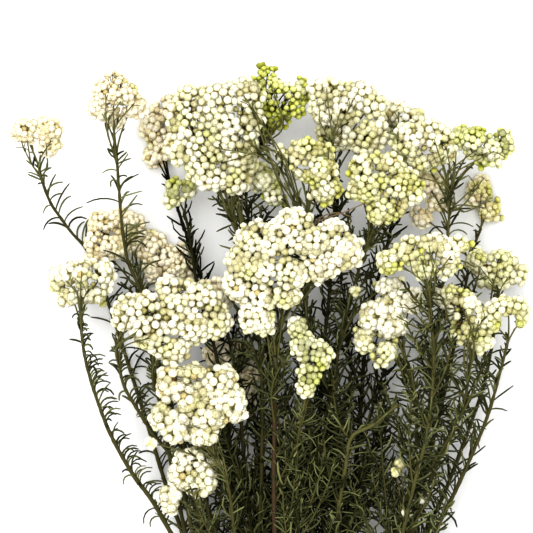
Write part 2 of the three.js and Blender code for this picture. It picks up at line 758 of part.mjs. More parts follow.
function leafyStemGeometry(number, stem, woodRoom) {
  const name = stemName(number);
  const draw = seededDraw(500 + Number(number));
  const pieces = [
    leafyRod(name, stem, draw),
    ...stem.stalks.map(stalkGeometry),
  ];
  return fromSolid(largestBody(joined(pieces).subtract(woodRoom)));
}

// The whole stem

const group = new THREE.Group();

function addMesh(name, geometry, color, roughness) {
  const mesh = new THREE.Mesh(geometry, new THREE.MeshStandardMaterial({ color, roughness, metalness: 0 }));
  mesh.name = name;
  group.add(mesh);
}

function headColour(head) {
  if (head.green) return BLOSSOM_GREEN;
  return head.dull ? BLOSSOM_DULL : BLOSSOM;
}

Object.entries(HEADS).forEach(([number, head]) => prepareHead(head, Number(number)));
Object.entries(LEAFY_STEMS).forEach(([number, stem]) => prepareStem(stem, stemName(number)));
FORKS.forEach((path) => addRods('main_stem', path, FORK_RADIUS));

addMesh('main_stem', fromSolid(woodySolid(0)), WOOD, 0.8);

const woodRoom = woodySolid(GAP);
for (const [number, head] of Object.entries(HEADS)) {
  addMesh(headName(number), head.mesh.geometry, headColour(head), 0.9);
}
for (const [number, stem] of Object.entries(LEAFY_STEMS)) {
  addMesh(stemName(number), leafyStemGeometry(number, stem, woodRoom), FOLIAGE, 0.7);
}

// The origin is under the middle of the whole, on the surface that it lies on.
const box = new THREE.Box3().setFromObject(group);
const middle = box.getCenter(new THREE.Vector3());
group.position.set(-middle.x, -middle.y, -box.min.z);

export default group;
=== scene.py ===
"""Preserved rice flower: one cut stem that lies on a surface, with needle leaves and heads of papery buds.

The finer pieces made here take the place of the solids of the frame, head for head and stem for stem.
Places are read off the photograph in pixels, 533 by 533. Everything else is in metres.
"""
import math

import bpy
import numpy as np
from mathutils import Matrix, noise


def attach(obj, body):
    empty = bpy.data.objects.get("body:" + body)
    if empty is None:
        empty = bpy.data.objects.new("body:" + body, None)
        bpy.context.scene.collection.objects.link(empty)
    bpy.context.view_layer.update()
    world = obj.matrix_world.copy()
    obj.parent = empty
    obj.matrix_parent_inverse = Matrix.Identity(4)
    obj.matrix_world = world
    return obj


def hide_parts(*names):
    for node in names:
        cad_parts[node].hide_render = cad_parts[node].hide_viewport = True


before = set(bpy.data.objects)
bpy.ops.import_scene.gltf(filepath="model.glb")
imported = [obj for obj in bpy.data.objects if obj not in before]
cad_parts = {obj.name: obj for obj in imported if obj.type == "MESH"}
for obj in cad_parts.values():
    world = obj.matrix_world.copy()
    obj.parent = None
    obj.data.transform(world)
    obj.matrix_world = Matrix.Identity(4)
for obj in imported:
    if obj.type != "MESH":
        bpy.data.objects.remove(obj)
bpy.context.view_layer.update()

MM = 0.001
PHOTO_SIZE = 533
PIXEL = 0.55 * MM
PHOTO_CENTRE = 266.5
CUT_END_PIXEL = (303, 930)
FOOT_HEIGHT = 3.51

# Sizes of the real plant. Where there are two radii, they are at the foot and at the tip.
BUD_WIDTHS = {"white": 4.7 * MM, "dull": 4.1 * MM, "green": 4.4 * MM}
LOBE_HALVES = [8, 8, 8]
STALKLET_RADIUS = 0.3 * MM
STALK_RADII = (0.62 * MM, 0.42 * MM)
FAN_RADII = (0.5 * MM, 0.34 * MM)
TWIG_RADII = (0.5 * MM, 0.3 * MM)
SHOOT_RADII = (0.75 * MM, 0.4125 * MM)
STEM_RADII = (1.45 * MM, 0.8 * MM)
FORK_RADII = (2.4 * MM, 1.7 * MM)
CUT_END_RADIUS = 3.8 * MM
CUT_END_DEPTH = 0.1 * MM
LEAF_LENGTH = 11.5 * MM
LEAF_HALF_WIDTH = 0.63 * MM
SHOOT_LENGTH = 50 * MM
GOLDEN_TURN = math.radians(137.5)

CAMERA_DISTANCE = 8
CAMERA_REACH = 60
SENSOR_WIDTH = 36
VIEW_HEIGHT = 0.05


def cut_end_place():
    """The middle of the cut end of the main stem, in the frame."""
    points = np.array([corner.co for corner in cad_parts["main_stem"].data.vertices])
    return points[points[:, 1] < points[:, 1].min() + CUT_END_DEPTH].mean(axis=0)


CUT_END = cut_end_place()


def at(across, down, height):
    """A pixel of the photograph, at a height above the surface in millimetres, as a place in the frame."""
    return np.array([
        CUT_END[0] + (across - CUT_END_PIXEL[0]) * PIXEL,
        CUT_END[1] - (down - CUT_END_PIXEL[1]) * PIXEL,
        height * MM,
    ])


def way(*places):
    """Places along a stem, each a pixel of the photograph and a height in millimetres."""
    return [at(*place) for place in places]


# How a head may differ from the usual: its look, how much greener its buds are, whether they stand further
# apart and whether more are open, how clumped they are, their size beside the usual, and by how many
# millimetres it is wider than its lobes. "golden" is the share of clumps with a golden bud at the heart.
USUAL_HEAD = {
    "look": "white", "tinge": 0, "loose": False, "open": False, "clumping": 1, "larger": 1, "wider": 0.7,
}


def flower_head(*lobes, **ways):
    """A head of rounded lobes. Each is the pixel and height of its middle and its half sizes in
    millimetres, of which the last ones may be left out where they are the usual."""
    placed = []
    for across, down, height, *halves in lobes:
        halves += LOBE_HALVES[len(halves):]
        placed.append((at(across, down, height), np.array(halves) * MM))
    return {**USUAL_HEAD, **ways, "lobes": placed}


def leafy_stem(*places, heads=(), reached=None, side_heads=None):
    """A stem, the heads that it carries, the lobes that its stalks reach if not all, and the share of its
    length at which a head leaves it, where that is not the top."""
    return {"path": way(*places), "heads": heads, "reached": reached, "side_heads": side_heads or {}}


WOODY_FOOT = way(
    (303, 930, FOOT_HEIGHT), (303, 909, FOOT_HEIGHT), (303, 889, FOOT_HEIGHT), (302, 868, 3.7),
    (302, 848, 4.4), (302, 828, 6),
)
FORKS = [
    way((302, 865, 4), (284, 780, 12), (240, 690, 24), (205, 612, 32), (186, 562, 36)),
    way((302, 848, 4.5), (284, 760, 8), (244, 660, 10), (214, 590, 12)),
    way((301, 838, 5), (286, 740, 22), (262, 640, 32), (252, 582, 36)),
    way((302, 838, 6), (296, 750, 34), (286, 650, 54), (280, 592, 62)),
    way((303, 838, 5), (315, 740, 22), (330, 640, 34), (338, 582, 38)),
    way((303, 865, 4), (326, 780, 14), (366, 690, 26), (398, 612, 34), (412, 562, 38)),
    way((303, 848, 4.5), (322, 760, 8), (360, 660, 10), (390, 590, 12)),
]

HEADS = {
    1: flower_head((24, 131, 40), (48, 129, 42), (51, 146, 40, 6, 6, 6), look="dull"),
    2: flower_head(
        (113, 92, 54, 12, 10, 10), (99, 107, 52, 7), (132, 105, 50, 9), (113, 115, 48), look="dull",
    ),
    3: flower_head(
        (167, 112, 7, 9, 8, 9), (153, 124, 7, 8, 8, 10), (162, 140, 6, 9, 9, 10), (155, 157, 6, 8, 6, 9),
        look="dull",
    ),
    4: flower_head(
        (190, 100, 54, 8, 7), (220, 100, 58, 13, 9, 9), (245, 94, 56, 9), (190, 125, 58, 12, 11, 10),
        (215, 122, 60, 12, 10, 10), (243, 118, 58, 10, 11, 10), (184, 150, 60, 9, 9, 9),
        (208, 150, 62, 13, 10, 10), (236, 152, 60, 12, 10, 10), (208, 174, 60, 10, 8, 9),
        (233, 176, 58, 9, 8, 9), (248, 162, 57, 6, 8, 7), (230, 135, 62, 6, 5, 6), (203, 111, 57, 6, 5, 6),
        tinge=0.05, loose=True, clumping=0.5, wider=1.6,
    ),
    5: flower_head(
        (262, 75, 46, 3.2, 4, 4), (256, 86, 49, 5, 5, 6), (273, 88, 46, 7, 7, 7), (281, 105, 46, 12, 11, 9),
        (299, 93, 44, 6, 8, 7), (270, 120, 44, 7, 7, 7), (261, 63, 44, 1.6, 1.6, 1.6),
        (275, 66, 44, 1.6, 1.6, 1.6), (268, 70, 44, 1.6, 2, 2), (293, 82, 44, 2, 2, 2), look="green",
        tinge=0.55, wider=1.2,
    ),
    6: flower_head(
        (326, 93, 50, 9, 7), (352, 95, 50, 11, 7), (324, 112, 48, 7), (344, 112, 50, 12, 9, 9),
        (370, 106, 48), (338, 132, 45, 12, 9, 9), (366, 134, 50, 10, 10, 9), tinge=0.06, loose=True,
        clumping=0.6, wider=1.6,
    ),
    7: flower_head((393, 113, 31, 9), (413, 119, 30, 8, 7), (398, 128, 30, 8, 6, 7)),
    8: flower_head(
        (411, 141, 58, 9, 10, 9), (428, 134, 58, 9, 7), (439, 148, 58, 10, 10, 9), (421, 159, 56, 9, 7),
        tinge=0.2, wider=1.6,
    ),
    9: flower_head(
        (475, 140, 54, 8, 7), (484, 152, 54, 9), (500, 143, 52, 7, 7, 7), (458, 138, 54, 7, 6, 7),
        look="green", wider=1.6, tinge=-0.2,
    ),
    10: flower_head(
        (294, 156, 72, 9), (314, 152, 74, 9, 7), (323, 167, 74, 7, 9), (314, 172, 72, 9, 7), (326, 190, 70),
        tinge=0.28, wider=1.6,
    ),
    11: flower_head(
        (362, 169, 72), (384, 167, 70, 9), (359, 187, 70, 6, 7, 7), (372, 186, 72, 11, 9, 9),
        (395, 182, 70, 9), (411, 190, 68), (396, 203, 68, 9), (380, 213, 66, 8, 7), tinge=0.3, wider=1.6,
    ),
    12: flower_head((265, 180, 41), (275, 195, 40, 7, 7, 7), look="green", tinge=-0.25),
    13: flower_head((173, 192, 27, 6, 8, 7), (188, 186, 28, 6, 6, 7), look="green", tinge=-0.15),
    14: flower_head(
        (103, 226, 16, 9), (124, 223, 17, 10, 8, 9), (100, 247, 16, 8, 9), (115, 243, 17, 9, 9, 9),
        (133, 236, 15, 7, 7, 7), look="dull",
    ),
    15: flower_head(
        (152, 248, 9, 11, 10, 10), (173, 262, 8, 11, 10, 10), (155, 269, 8, 8, 8, 9), (141, 238, 8, 8, 7),
        look="dull",
    ),
    16: flower_head(
        (60, 280, 42, 7), (80, 275, 44, 10, 8, 9), (102, 274, 42, 7), (70, 296, 42, 7, 7), (91, 293, 43, 9),
    ),
    17: flower_head(
        (126, 312, 74, 7), (145, 308, 76, 9, 8, 9), (174, 290, 72, 10, 7), (200, 298, 73, 10, 9, 9),
        (152, 333, 77, 10, 10, 10), (173, 316, 76, 11, 11, 10), (172, 346, 75, 9, 9, 9),
        (192, 325, 75, 10, 9, 9), (217, 318, 72, 8, 10), clumping=0.5, larger=1.05,
    ),
    18: flower_head((206, 291, 40, 7, 6, 7), (223, 293, 40), look="dull"),
    19: flower_head(
        (297, 224, 90, 11, 8, 9), (258, 240, 88, 11, 8, 9), (284, 243, 93, 12, 11, 10),
        (312, 243, 95, 12, 10, 10), (342, 252, 91, 11, 10, 9), (332, 234, 90), (241, 262, 89, 8, 9, 9),
        (263, 266, 92, 11, 10, 10), (291, 270, 93, 12, 9, 9), (318, 269, 90, 9, 7), (240, 286, 88, 8, 9),
        (264, 292, 90, 10, 10, 9), (286, 295, 88), (258, 318, 86, 10, 10), clumping=0.6,
    ),
    20: flower_head(
        (298, 327, 85, 5, 5, 6), (303, 345, 86, 6, 7, 7), (319, 357, 86, 6, 8, 7), (309, 374, 85, 5, 7, 7),
        (307, 388, 83, 5, 4, 5), look="green", wider=0.8, clumping=0.3, tinge=-0.38,
    ),
    21: flower_head(
        (215, 356, 26, 7, 7, 7), (236, 356, 26, 9), (250, 378, 24, 6, 8, 6), (251, 404, 24, 5, 9, 6),
        look="dull",
    ),
    22: flower_head(
        (196, 372, 80, 11, 6), (172, 384, 80, 9, 9, 9), (222, 382, 80, 9, 9, 9), (236, 404, 78, 6, 10),
        (214, 412, 80, 10, 9, 9), (190, 404, 80, 11, 9, 9), (165, 414, 78, 7, 9), (177, 430, 76, 8, 7),
        (201, 433, 77, 9, 7), (204, 392, 79, 8, 7), (189, 388, 77, 8, 7), (152, 443, 70, 2.6, 2.6, 2.6),
        clumping=0.9, larger=1.18, open=True, golden=0.3,
    ),
    23: flower_head(
        (195, 457, 62, 9, 6), (217, 466, 60, 5, 6, 6), (183, 474, 62), (203, 482, 62, 9),
        (171, 498, 58, 6, 8, 7), clumping=0.9, larger=1.18, open=True, golden=0.3,
    ),
    24: flower_head(
        (391, 262, 86), (411, 251, 88, 10, 7), (433, 246, 88, 10, 7), (456, 246, 86, 8, 5, 7),
        (424, 265, 86, 10, 7), (446, 263, 85, 8, 6, 7), tinge=0.24,
    ),
    25: flower_head(
        (479, 262, 32, 8, 7), (500, 262, 30, 9, 7), (515, 273, 29, 6, 7, 7), (494, 281, 29, 9, 6, 7),
        tinge=0.12,
    ),
    26: flower_head(
        (409, 301, 62, 9, 7), (389, 306, 64, 9), (371, 319, 62), (394, 325, 64, 9), (365, 338, 60, 7, 7, 7),
        (384, 350, 60, 8, 8, 7), (355, 291, 56, 2.6, 2.6, 2.6), (389, 287, 58, 8, 6, 7), tinge=0.08,
    ),
    27: flower_head(
        (449, 296, 70, 7, 7), (464, 304, 71), (508, 309, 72, 10, 6), (486, 318, 73, 9, 9),
        (520, 320, 70, 4, 6, 6), (466, 326, 71, 8, 9), (480, 340, 70, 7, 7, 7), tinge=0.16,
    ),
    28: flower_head((481, 190, 7, 8, 8, 9), (490, 208, 6, 7), look="dull", tinge=0.5),
    29: flower_head((428, 183, 44, 8, 6, 7), (437, 203, 40, 6, 6, 6), (422, 217, 36, 6, 5, 6), look="dull"),
    30: flower_head(
        (400, 462, 58, 4, 3.5, 4), (396, 473, 57, 3.5, 3.5, 4), (421, 500, 56, 2.4, 2.4, 2.4),
        (404, 513, 54, 2.4, 2.4, 2.4), wider=0,
    ),
}

LEAFY_STEMS = {
    1: leafy_stem(
        (244, 660, 9), (226, 635, 7.5), (200, 580, 6), (170, 500, 5), (142, 410, 4), (113, 320, 4),
        (96, 272, 4), (84, 247, 5), (72, 234, 8), (60, 218, 12), (50, 203, 18), (42, 182, 26),
        (38, 165, 32), heads=[1],
    ),
    2: leafy_stem(
        (222, 650, 28), (192, 560, 27), (172, 470, 28), (152, 360, 29), (140, 290, 31), (129, 265, 33),
        (123, 236, 36), (119, 190, 42), (116, 146, 47), heads=[2],
    ),
    3: leafy_stem(
        (256, 606, 34), (240, 530, 26), (225, 430, 17), (213, 340, 15), (203, 285, 15), (190, 245, 15),
        (178, 210, 14), (170, 182, 12), heads=[3],
    ),
    4: leafy_stem(
        (252, 584, 36), (260, 512, 46), (262, 445, 50), (262, 380, 52), (256, 310, 52), (246, 262, 52),
        (237, 230, 54), (230, 208, 55), heads=[4],
    ),
    5: leafy_stem(
        (277, 702, 25.5), (284, 640, 30), (283, 590, 33), (281, 500, 35), (272, 400, 36), (263, 300, 36),
        (253, 240, 34), (246, 200, 34), (252, 165, 36), (266, 138, 41), heads=[5, 12],
        side_heads={12: 0.86},
    ),
    6: leafy_stem(
        (330, 640, 34), (324, 540, 36), (320, 440, 37), (323, 360, 37), (330, 290, 37), (334, 240, 38),
        (334, 190, 40), (332, 158, 42), heads=[6],
    ),
    7: leafy_stem(
        (336, 600, 37), (352, 500, 30), (361, 410, 27), (366, 345, 26), (377, 285, 26), (389, 240, 26),
        (395, 200, 27), (396, 165, 27), (397, 148, 28), heads=[7],
    ),
    8: leafy_stem(
        (412, 563, 38), (421, 480, 42), (430, 400, 44), (438, 320, 46), (446, 260, 48), (449, 220, 50),
        (450, 192, 52), heads=[8, 9, 29], side_heads={29: 0.88},
    ),
    9: leafy_stem(
        (322, 690, 29), (314, 600, 42), (312, 520, 51), (310, 440, 56), (307, 360, 60), (306, 290, 62),
        (305, 240, 63), (307, 212, 65), heads=[10],
    ),
    10: leafy_stem(
        (338, 584, 38), (340, 500, 46), (336, 414, 50), (338, 350, 53), (350, 300, 56), (362, 260, 57),
        (370, 234, 59), heads=[11],
    ),
    11: leafy_stem(
        (259, 632, 32), (244, 585, 35), (237, 510, 39), (227, 420, 40), (215, 350, 39), (203, 310, 32),
        (197, 285, 29), (192, 255, 28), (188, 228, 28), (184, 212, 28), heads=[13],
    ),
    12: leafy_stem(
        (214, 592, 12), (190, 490, 11), (166, 390, 10), (148, 320, 9), (142, 292, 9), heads=[14, 15],
    ),
    13: leafy_stem(
        (186, 563, 36), (170, 532, 36), (152, 501, 37), (133, 475, 38), (112, 438, 39), (99, 406, 40),
        (86, 363, 40), (81, 330, 41), (80, 312, 42), heads=[16],
    ),
    14: leafy_stem(
        (212, 628, 30), (192, 530, 41), (175, 463, 48), (152, 432, 54), (138, 410, 58), (124, 385, 62),
        (119, 362, 65), (116, 338, 69), heads=[17], reached=[0, 1, 4],
    ),
    15: leafy_stem(
        (240, 690, 24), (222, 590, 44), (200, 480, 47), (168, 416, 58), (156, 392, 60), (152, 365, 65),
        heads=[17], reached=[5, 6, 7],
    ),
    16: leafy_stem(
        (264, 650, 31), (254, 560, 43), (245, 470, 43), (238, 390, 41), (228, 335, 40), (222, 312, 40),
        heads=[18],
    ),
    17: leafy_stem(
        (280, 594, 62), (275, 533, 66), (274, 460, 70), (275, 400, 72), (277, 350, 73), (280, 326, 74),
        heads=[19],
    ),
    18: leafy_stem(
        (288, 660, 52), (297, 580, 64), (297, 500, 69), (297, 445, 73), (304, 404, 77), heads=[20],
    ),
    19: leafy_stem(
        (266, 655, 30), (268, 600, 25), (262, 500, 24), (258, 455, 22), (256, 430, 21), heads=[21],
    ),
    20: leafy_stem(
        (252, 712, 21), (242, 610, 54), (234, 530, 66), (228, 485, 71), (217, 459, 72), (207, 449, 73),
        heads=[22],
    ),
    21: leafy_stem((200, 602, 33), (207, 566, 48), (202, 528, 54), (196, 502, 57), heads=[23]),
    22: leafy_stem(
        (376, 668, 28), (392, 580, 50), (410, 500, 62), (427, 430, 69), (433, 371, 73), (431, 320, 77),
        (426, 288, 80), heads=[24],
    ),
    23: leafy_stem(
        (391, 594, 12), (438, 510, 15), (466, 440, 18), (486, 380, 20), (495, 330, 23), (497, 300, 25),
        heads=[25],
    ),
    24: leafy_stem(
        (402, 602, 34.5), (396, 540, 48), (413, 470, 55), (416, 405, 56), (406, 366, 57), heads=[26, 30],
        side_heads={30: 0.4},
    ),
    25: leafy_stem(
        (408, 580, 37), (436, 530, 34), (454, 495, 38), (475, 448, 44), (488, 415, 50), (500, 372, 58),
        (508, 340, 62), heads=[27], reached=[2, 3],
    ),
    26: leafy_stem(
        (394, 622, 33), (404, 560, 48), (433, 473, 56), (456, 426, 60), (465, 398, 62), (470, 362, 65),
        heads=[27], reached=[0, 1, 5],
    ),
    27: leafy_stem(
        (374, 630, 11), (412, 520, 12), (444, 400, 12), (462, 310, 12), (474, 250, 11), (482, 228, 10),
        heads=[28],
    ),
    28: leafy_stem(
        (326, 662, 32), (334, 570, 56), (339, 506, 61), (345, 469, 63), (352, 436, 65), (372, 425, 66),
        (398, 404, 68),
    ),
}

# How leaves stand: their spacing, length beside the usual, lean from the stem and its stray, how far they
# turn over from root to tip (outwards, or ahead if below 0) and its stray, how much they curl aside, the
# side that some are pulled to (1 or -1), and the share that is. Angles are in degrees.
STYLE_WORDS = ("spacing", "length", "lean", "stray", "turn", "turn_stray", "curl", "towards", "pull")
LEAF_STYLES = {name: dict(zip(STYLE_WORDS, values)) for name, values in {
    "open": (1.4 * MM, 1.15, 52, 12, -22, 42, 0.35, 0, 0),
    "comb": (1.3 * MM, 1.2, 22, 12, 130, 35, 0.2, 1, 0.88),
    "ribs": (1.5 * MM, 1, 30, 12, 85, 30, 0.25, 1, 0.75),
    "arched": (2.1 * MM, 1.65, 42, 14, 70, 45, 0.3, 1, 0.4),
    "sparse": (3.2 * MM, 1.4, 36, 12, 62, 30, 0.25, 1, 0.6),
    "inner": (1.3 * MM, 1.2, 42, 12, 30, 45, 0.3, -1, 0.6),
    "dense": (0.9 * MM, 1.2, 56, 14, -18, 50, 0.35, 0, 0),
    "bare": (6 * MM, 0.9, 60, 13, -10, 40, 0.3, 0, 0),
}.items()}
STALK_LEAVES = dict(LEAF_STYLES["open"], spacing=5 * MM, length=0.6, lean=26, turn=10)
FAN_LEAVES = dict(STALK_LEAVES, spacing=9 * MM, length=0.7)
SHOOT_LEAVES = dict(LEAF_STYLES["dense"], spacing=1.1 * MM)

# Side shoots on each stem that has some: how many
SHOOTS = {
    3: 2, 4: 6, 5: 8, 6: 9, 7: 8, 8: 2, 9: 6, 10: 7, 11: 3, 15: 2, 16: 7, 17: 5, 18: 6, 19: 9, 20: 4, 22: 5,
    24: 3, 28: 4,
}
# Leafy shoots that show on their own, on each stem: where the shoot leaves it, its bend and its end
SHOWN_SHOOTS = {
    4: [((237, 230), (224, 208, 52), (212, 196, 52)), ((246, 262), (258, 232, 50), (262, 206, 48))],
    5: [((253, 240), (264, 220, 38), (276, 206, 40))],
    6: [
        ((330, 290), (316, 252, 39), (318, 214, 40)), ((334, 240), (322, 216, 42), (312, 196, 44)),
        ((334, 215), (346, 200, 42), (354, 186, 44)),
    ],
    7: [
        ((352, 500), (374, 460, 30), (386, 395, 32)), ((389, 240), (378, 216, 30), (370, 196, 32)),
        ((395, 200), (408, 186, 30), (414, 172, 32)), ((366, 345), (390, 320, 28), (408, 296, 28)),
    ],
    9: [((306, 290), (322, 262, 56), (340, 230, 54)), ((306, 262), (296, 232, 60), (286, 206, 60))],
    10: [
        ((338, 352), (352, 318, 57), (388, 281, 62)), ((350, 300), (374, 268, 50), (394, 236, 48)),
        ((362, 262), (352, 236, 56), (346, 212, 56)), ((366, 250), (382, 236, 56), (394, 216, 54)),
    ],
    12: [((152, 330), (138, 300, 14), (120, 282, 18)), ((150, 325), (160, 300, 14), (168, 284, 16))],
    17: [((275, 425), (272, 388, 79), (290, 346, 84)), ((274, 400), (278, 372, 80), (296, 350, 85))],
    22: [
        ((396, 566), (385, 490, 52), (378, 400, 56)), ((433, 371), (418, 348, 80), (406, 324, 78)),
        ((430, 400), (446, 366, 76), (452, 336, 78)), ((427, 430), (416, 398, 74), (410, 366, 75)),
        ((432, 340), (446, 316, 80), (442, 298, 82)), ((431, 320), (416, 300, 82), (404, 286, 80)),
    ],
    23: [((486, 380), (470, 350, 22), (452, 326, 24)), ((466, 440), (440, 400, 20), (424, 366, 24))],
    24: [
        ((400, 540), (392, 500, 46), (370, 452, 50)), ((413, 470), (400, 430, 52), (382, 382, 52)),
        ((416, 405), (404, 380, 62), (398, 356, 62)), ((413, 470), (426, 436, 60), (438, 400, 62)),
    ],
    26: [((465, 398), (450, 374, 70), (444, 346, 72)), ((456, 426), (474, 388, 64), (486, 356, 66))],
    27: [((444, 400), (430, 360, 14), (424, 328, 16)), ((462, 310), (444, 290, 14), (430, 276, 16))],
    28: [((350, 442), (338, 420, 64), (333, 392, 62))],
}
# Stalks that pass in front of a head, from each stem: the place of their bend, and their ends
FRONT_FANS = {
    1: [((30, 163, 33), ((21, 141, 40), (27, 139, 42))), ((42, 165, 34), ((46, 149, 42), (51, 141, 42)))],
    2: [((114, 132, 62), ((106, 94, 64), (114, 108, 66), (134, 104, 60), (122, 100, 66)))],
    5: [((285, 128, 58), ((295, 108, 57), (286, 118, 57), (270, 82, 55)))],
    6: [((330, 146, 62), ((327, 96, 60), (341, 108, 62), (353, 100, 62), (318, 118, 58), (336, 124, 60)))],
    7: [((396, 128, 44), ((388, 116, 42), (399, 112, 42), (408, 118, 41)))],
    8: [
        ((448, 178, 70), (
            (434, 140, 70), (446, 148, 70), (456, 150, 62), (496, 150, 64), (476, 150, 64), (414, 176, 62),
        )),
        ((462, 206, 54), ((478, 184, 52), (492, 198, 46), (486, 208, 46), (484, 178, 50))),
    ],
    9: [
        ((279, 162, 80), (
            (262, 128, 77), (249, 106, 72), (216, 148, 76), (234, 134, 75), (226, 162, 75), (266, 146, 74),
        )),
        ((268, 140, 78), ((257, 119, 72), (244, 96, 70), (252, 104, 70))),
    ],
    13: [((80, 294, 54), ((66, 280, 53), (82, 272, 55), (96, 284, 54), (74, 286, 54)))],
    14: [((118, 348, 82), ((128, 322, 86), (140, 330, 88), (150, 338, 89)))],
    22: [
        ((431, 286, 98), ((436, 252, 99), (420, 258, 98), (402, 266, 97), (450, 256, 97), (428, 246, 99))),
        ((428, 330, 84), ((404, 304, 75), (414, 312, 75), (440, 318, 80), (396, 316, 74))),
    ],
    23: [((497, 292, 42), ((484, 272, 42), (498, 270, 41), (508, 278, 40)))],
    26: [((470, 344, 84), ((462, 308, 82), (478, 320, 84), (486, 316, 84), (470, 326, 83)))],
}
# Bare dry twigs that cross a gap, from each stem: where they leave it, and their way
BARE_TWIGS = {
    9: [
        ((305, 238), ((318, 222, 66), (345, 212, 69), (372, 200, 72))),
        ((305, 234), ((320, 218, 66), (336, 213, 68), (352, 217, 67))),
    ],
}
# How the leaves stand on stems where they aren't open
STEM_STYLES = {
    1: "sparse", 2: "arched", 5: "dense", 6: "dense", 8: "arched", 9: "dense", 10: "dense", 12: "ribs",
    13: "comb", 14: "comb", 17: "bare", 18: "dense", 22: "dense", 23: "inner", 24: "dense", 25: "inner",
    26: "inner", 27: "inner", 28: "dense",
}

# Stems that stand in the dark of the crowd; low down their foliage gets painted shade, fully on these stems
# and a little on the others
CROWDED_STEMS = {3, 4, 5, 6, 7, 9, 10, 11, 16, 17, 18, 19, 20, 22, 28}
CROWD_SHADE = 1.0
OPEN_SHADE = 0.15

# How young a stem or stalk is, for its colour
DRY, WOODY, OLIVE, SHOOT_YOUTH, STALK_YOUTH, FRESH = -1, 0, 0.5, 0.6, 0.9, 1
# Stems thicker, thinner, woodier or fresher than the usual: how thick beside it, and how young
ODD_STEMS = {8: (0.8, 0.85), 9: (1.15, 0.6), 17: (1.15, WOODY), 22: (1.1, 0.65), 28: (1.25, 0.75)}
USUAL_STEM = (1, OLIVE)
RADIUS_STRAY = 0.07

# Seeds of the random draws, to which the number of the head or stem is added
HEAD_SEED = 100
STEM_SEED = 500

# Detail: places in each stretch of a smooth curve, how far apart the rings of each kind of rod are, how
# fine the fused wood is, and the sides of each kind of rod
PATH_DETAIL = 24
STEM_DETAIL = 2 * MM
SHOOT_DETAIL = 2.5 * MM
FAN_DETAIL = 3 * MM
FORK_DETAIL = 1.5 * MM
FOOT_DETAIL = 1.2 * MM
WOOD_DETAIL = 0.9 * MM
NEAR_UPRIGHT = 0.9
STALKLET_SIDES, STALK_SIDES, SHOOT_SIDES, STEM_SIDES, FORK_SIDES, FOOT_SIDES = 3, 5, 6, 7, 12, 20

# A bud, one unit high: its outline, its heart, and its bracts from the outer layer to the inner one. Each
# layer has its foot and top, half its width as an angle, its radius beside the outline's, how far its foot
# and top are from heart gold to tip white, and how much of the bud's opening it takes part in.
BUD_HEIGHTS = (0, 0.12, 0.3, 0.5, 0.7, 0.86, 0.96, 1)
BUD_RADII = (0.09, 0.27, 0.43, 0.5, 0.47, 0.34, 0.16, 0.02)
BUD_OPENINGS = (0, 0.12, 0.28, 0.5)
HEART_SIDES = 6
HEART_ROWS = (0.1, 0.75)
HEART_FIT = 0.82
HEART_TIPS = (0.2, 0.6)
CROWN_HEIGHT = 0.93
CROWN_DROP = 0.1
BRACTS_A_LAYER = 5
BRACT_LAYERS = (
    (0.03, 0.6, 0.72, 1.07, 0.15, 0.6, 1),
    (0.12, 0.88, 0.66, 1.02, 0.4, 0.92, 0.9),
    (0.35, 1.02, 0.62, 0.97, 0.7, 1, 0.25),
)
BRACT_ROWS = (0, 0.42, 0.8, 1)
OUTER_BRACT_ROWS = (0, 0.6, 1)
BRACT_WAIST = 0.5
BRACT_FOOT_WIDTH = 0.55
BRACT_TILT = 0.018
BRACT_DROOP = 0.12
BRACT_LEAN = 0.3

# How buds spread over a head: pitches and sizes beside the bud's width, depths under the smooth skin, and
# the lowest side that still has buds, as the upward part of the way out
BUD_PITCH = 0.8
LOOSE_PITCH = 0.86
INNER_PITCH = 0.84
OUTER_DEPTH = 1 * MM
INNER_DEPTH = 3.8 * MM
LOWEST_SIDE = -0.45
INNER_LOWEST_SIDE = -0.1
LOBE_BLEND = 1.3 * MM
LOBE_MERGE = 0.82
LOBE_SPREAD = np.array([1, 1, 0.3])
SKIN_ROUNDS = 3
CANDIDATES = 420
SPREAD_ROUNDS = 9
FIRST_SPACING = 0.74
PUSH_REACH = 1.1
PUSH_STEP = 0.22
LAST_SPACING = 0.7
BUD_STRAY = 0.6 * MM
BUD_TILT = 0.16
BUD_SIZES = (0.82, 1.12)
INNER_SIZE = 0.8
HUB_PULL = 0.35
# Shares of buds that are shut, a little open, half open and open
BUD_SHARES = {
    "white": (0.5, 0.28, 0.15, 0.07),
    "dull": (0.15, 0.25, 0.3, 0.3),
    "green": (0.7, 0.2, 0.1, 0),
    "open": (0.22, 0.28, 0.28, 0.22),
}

# Clumps of buds: how far apart, how wide, how far their edges sink and their middles rise, how much the
# buds fan out, the share left out at the edges, and how much painted shade darkens the buds at the edges
CLUMP_PITCH = 9 * MM
CLUMP_REACH = 5.6 * MM
CLUMP_DEPTH = 2 * MM
CLUMP_RISE = 0.7 * MM
CLUMP_FAN = 0.75
CLUMP_GAP = 0.25
CLUMP_EDGE = 1.25
INNER_SINK = 0.6
EDGE_SHADE = 0.4
DRY_SHARE = 0.035
# Golden buds at the hearts of some clumps
GOLD_SHARES = {"white": 0.05, "dull": 0.35, "green": 0}
GOLD_REACH = 2.6 * MM
GOLD_SINK = 1.2 * MM
GOLD_SMALLER = 0.25
# Unripe buds, in patches, and the fresh green clumps that lie lowest, which also get painted shade
GREEN_LEVEL = {"white": 0.06, "dull": 0.02, "green": 0.6}
GREEN_PATCH = 14 * MM
GREEN_SPREAD = 1.2
GREEN_STRAY = 0.1
GREEN_SMALLER = 0.2
FRESH_SHARE = 1.4
FRESH_MOST = 0.6
FRESH_REACH = 1.2
FRESH_GREEN = 0.55
FRESH_SHADE = 0.38

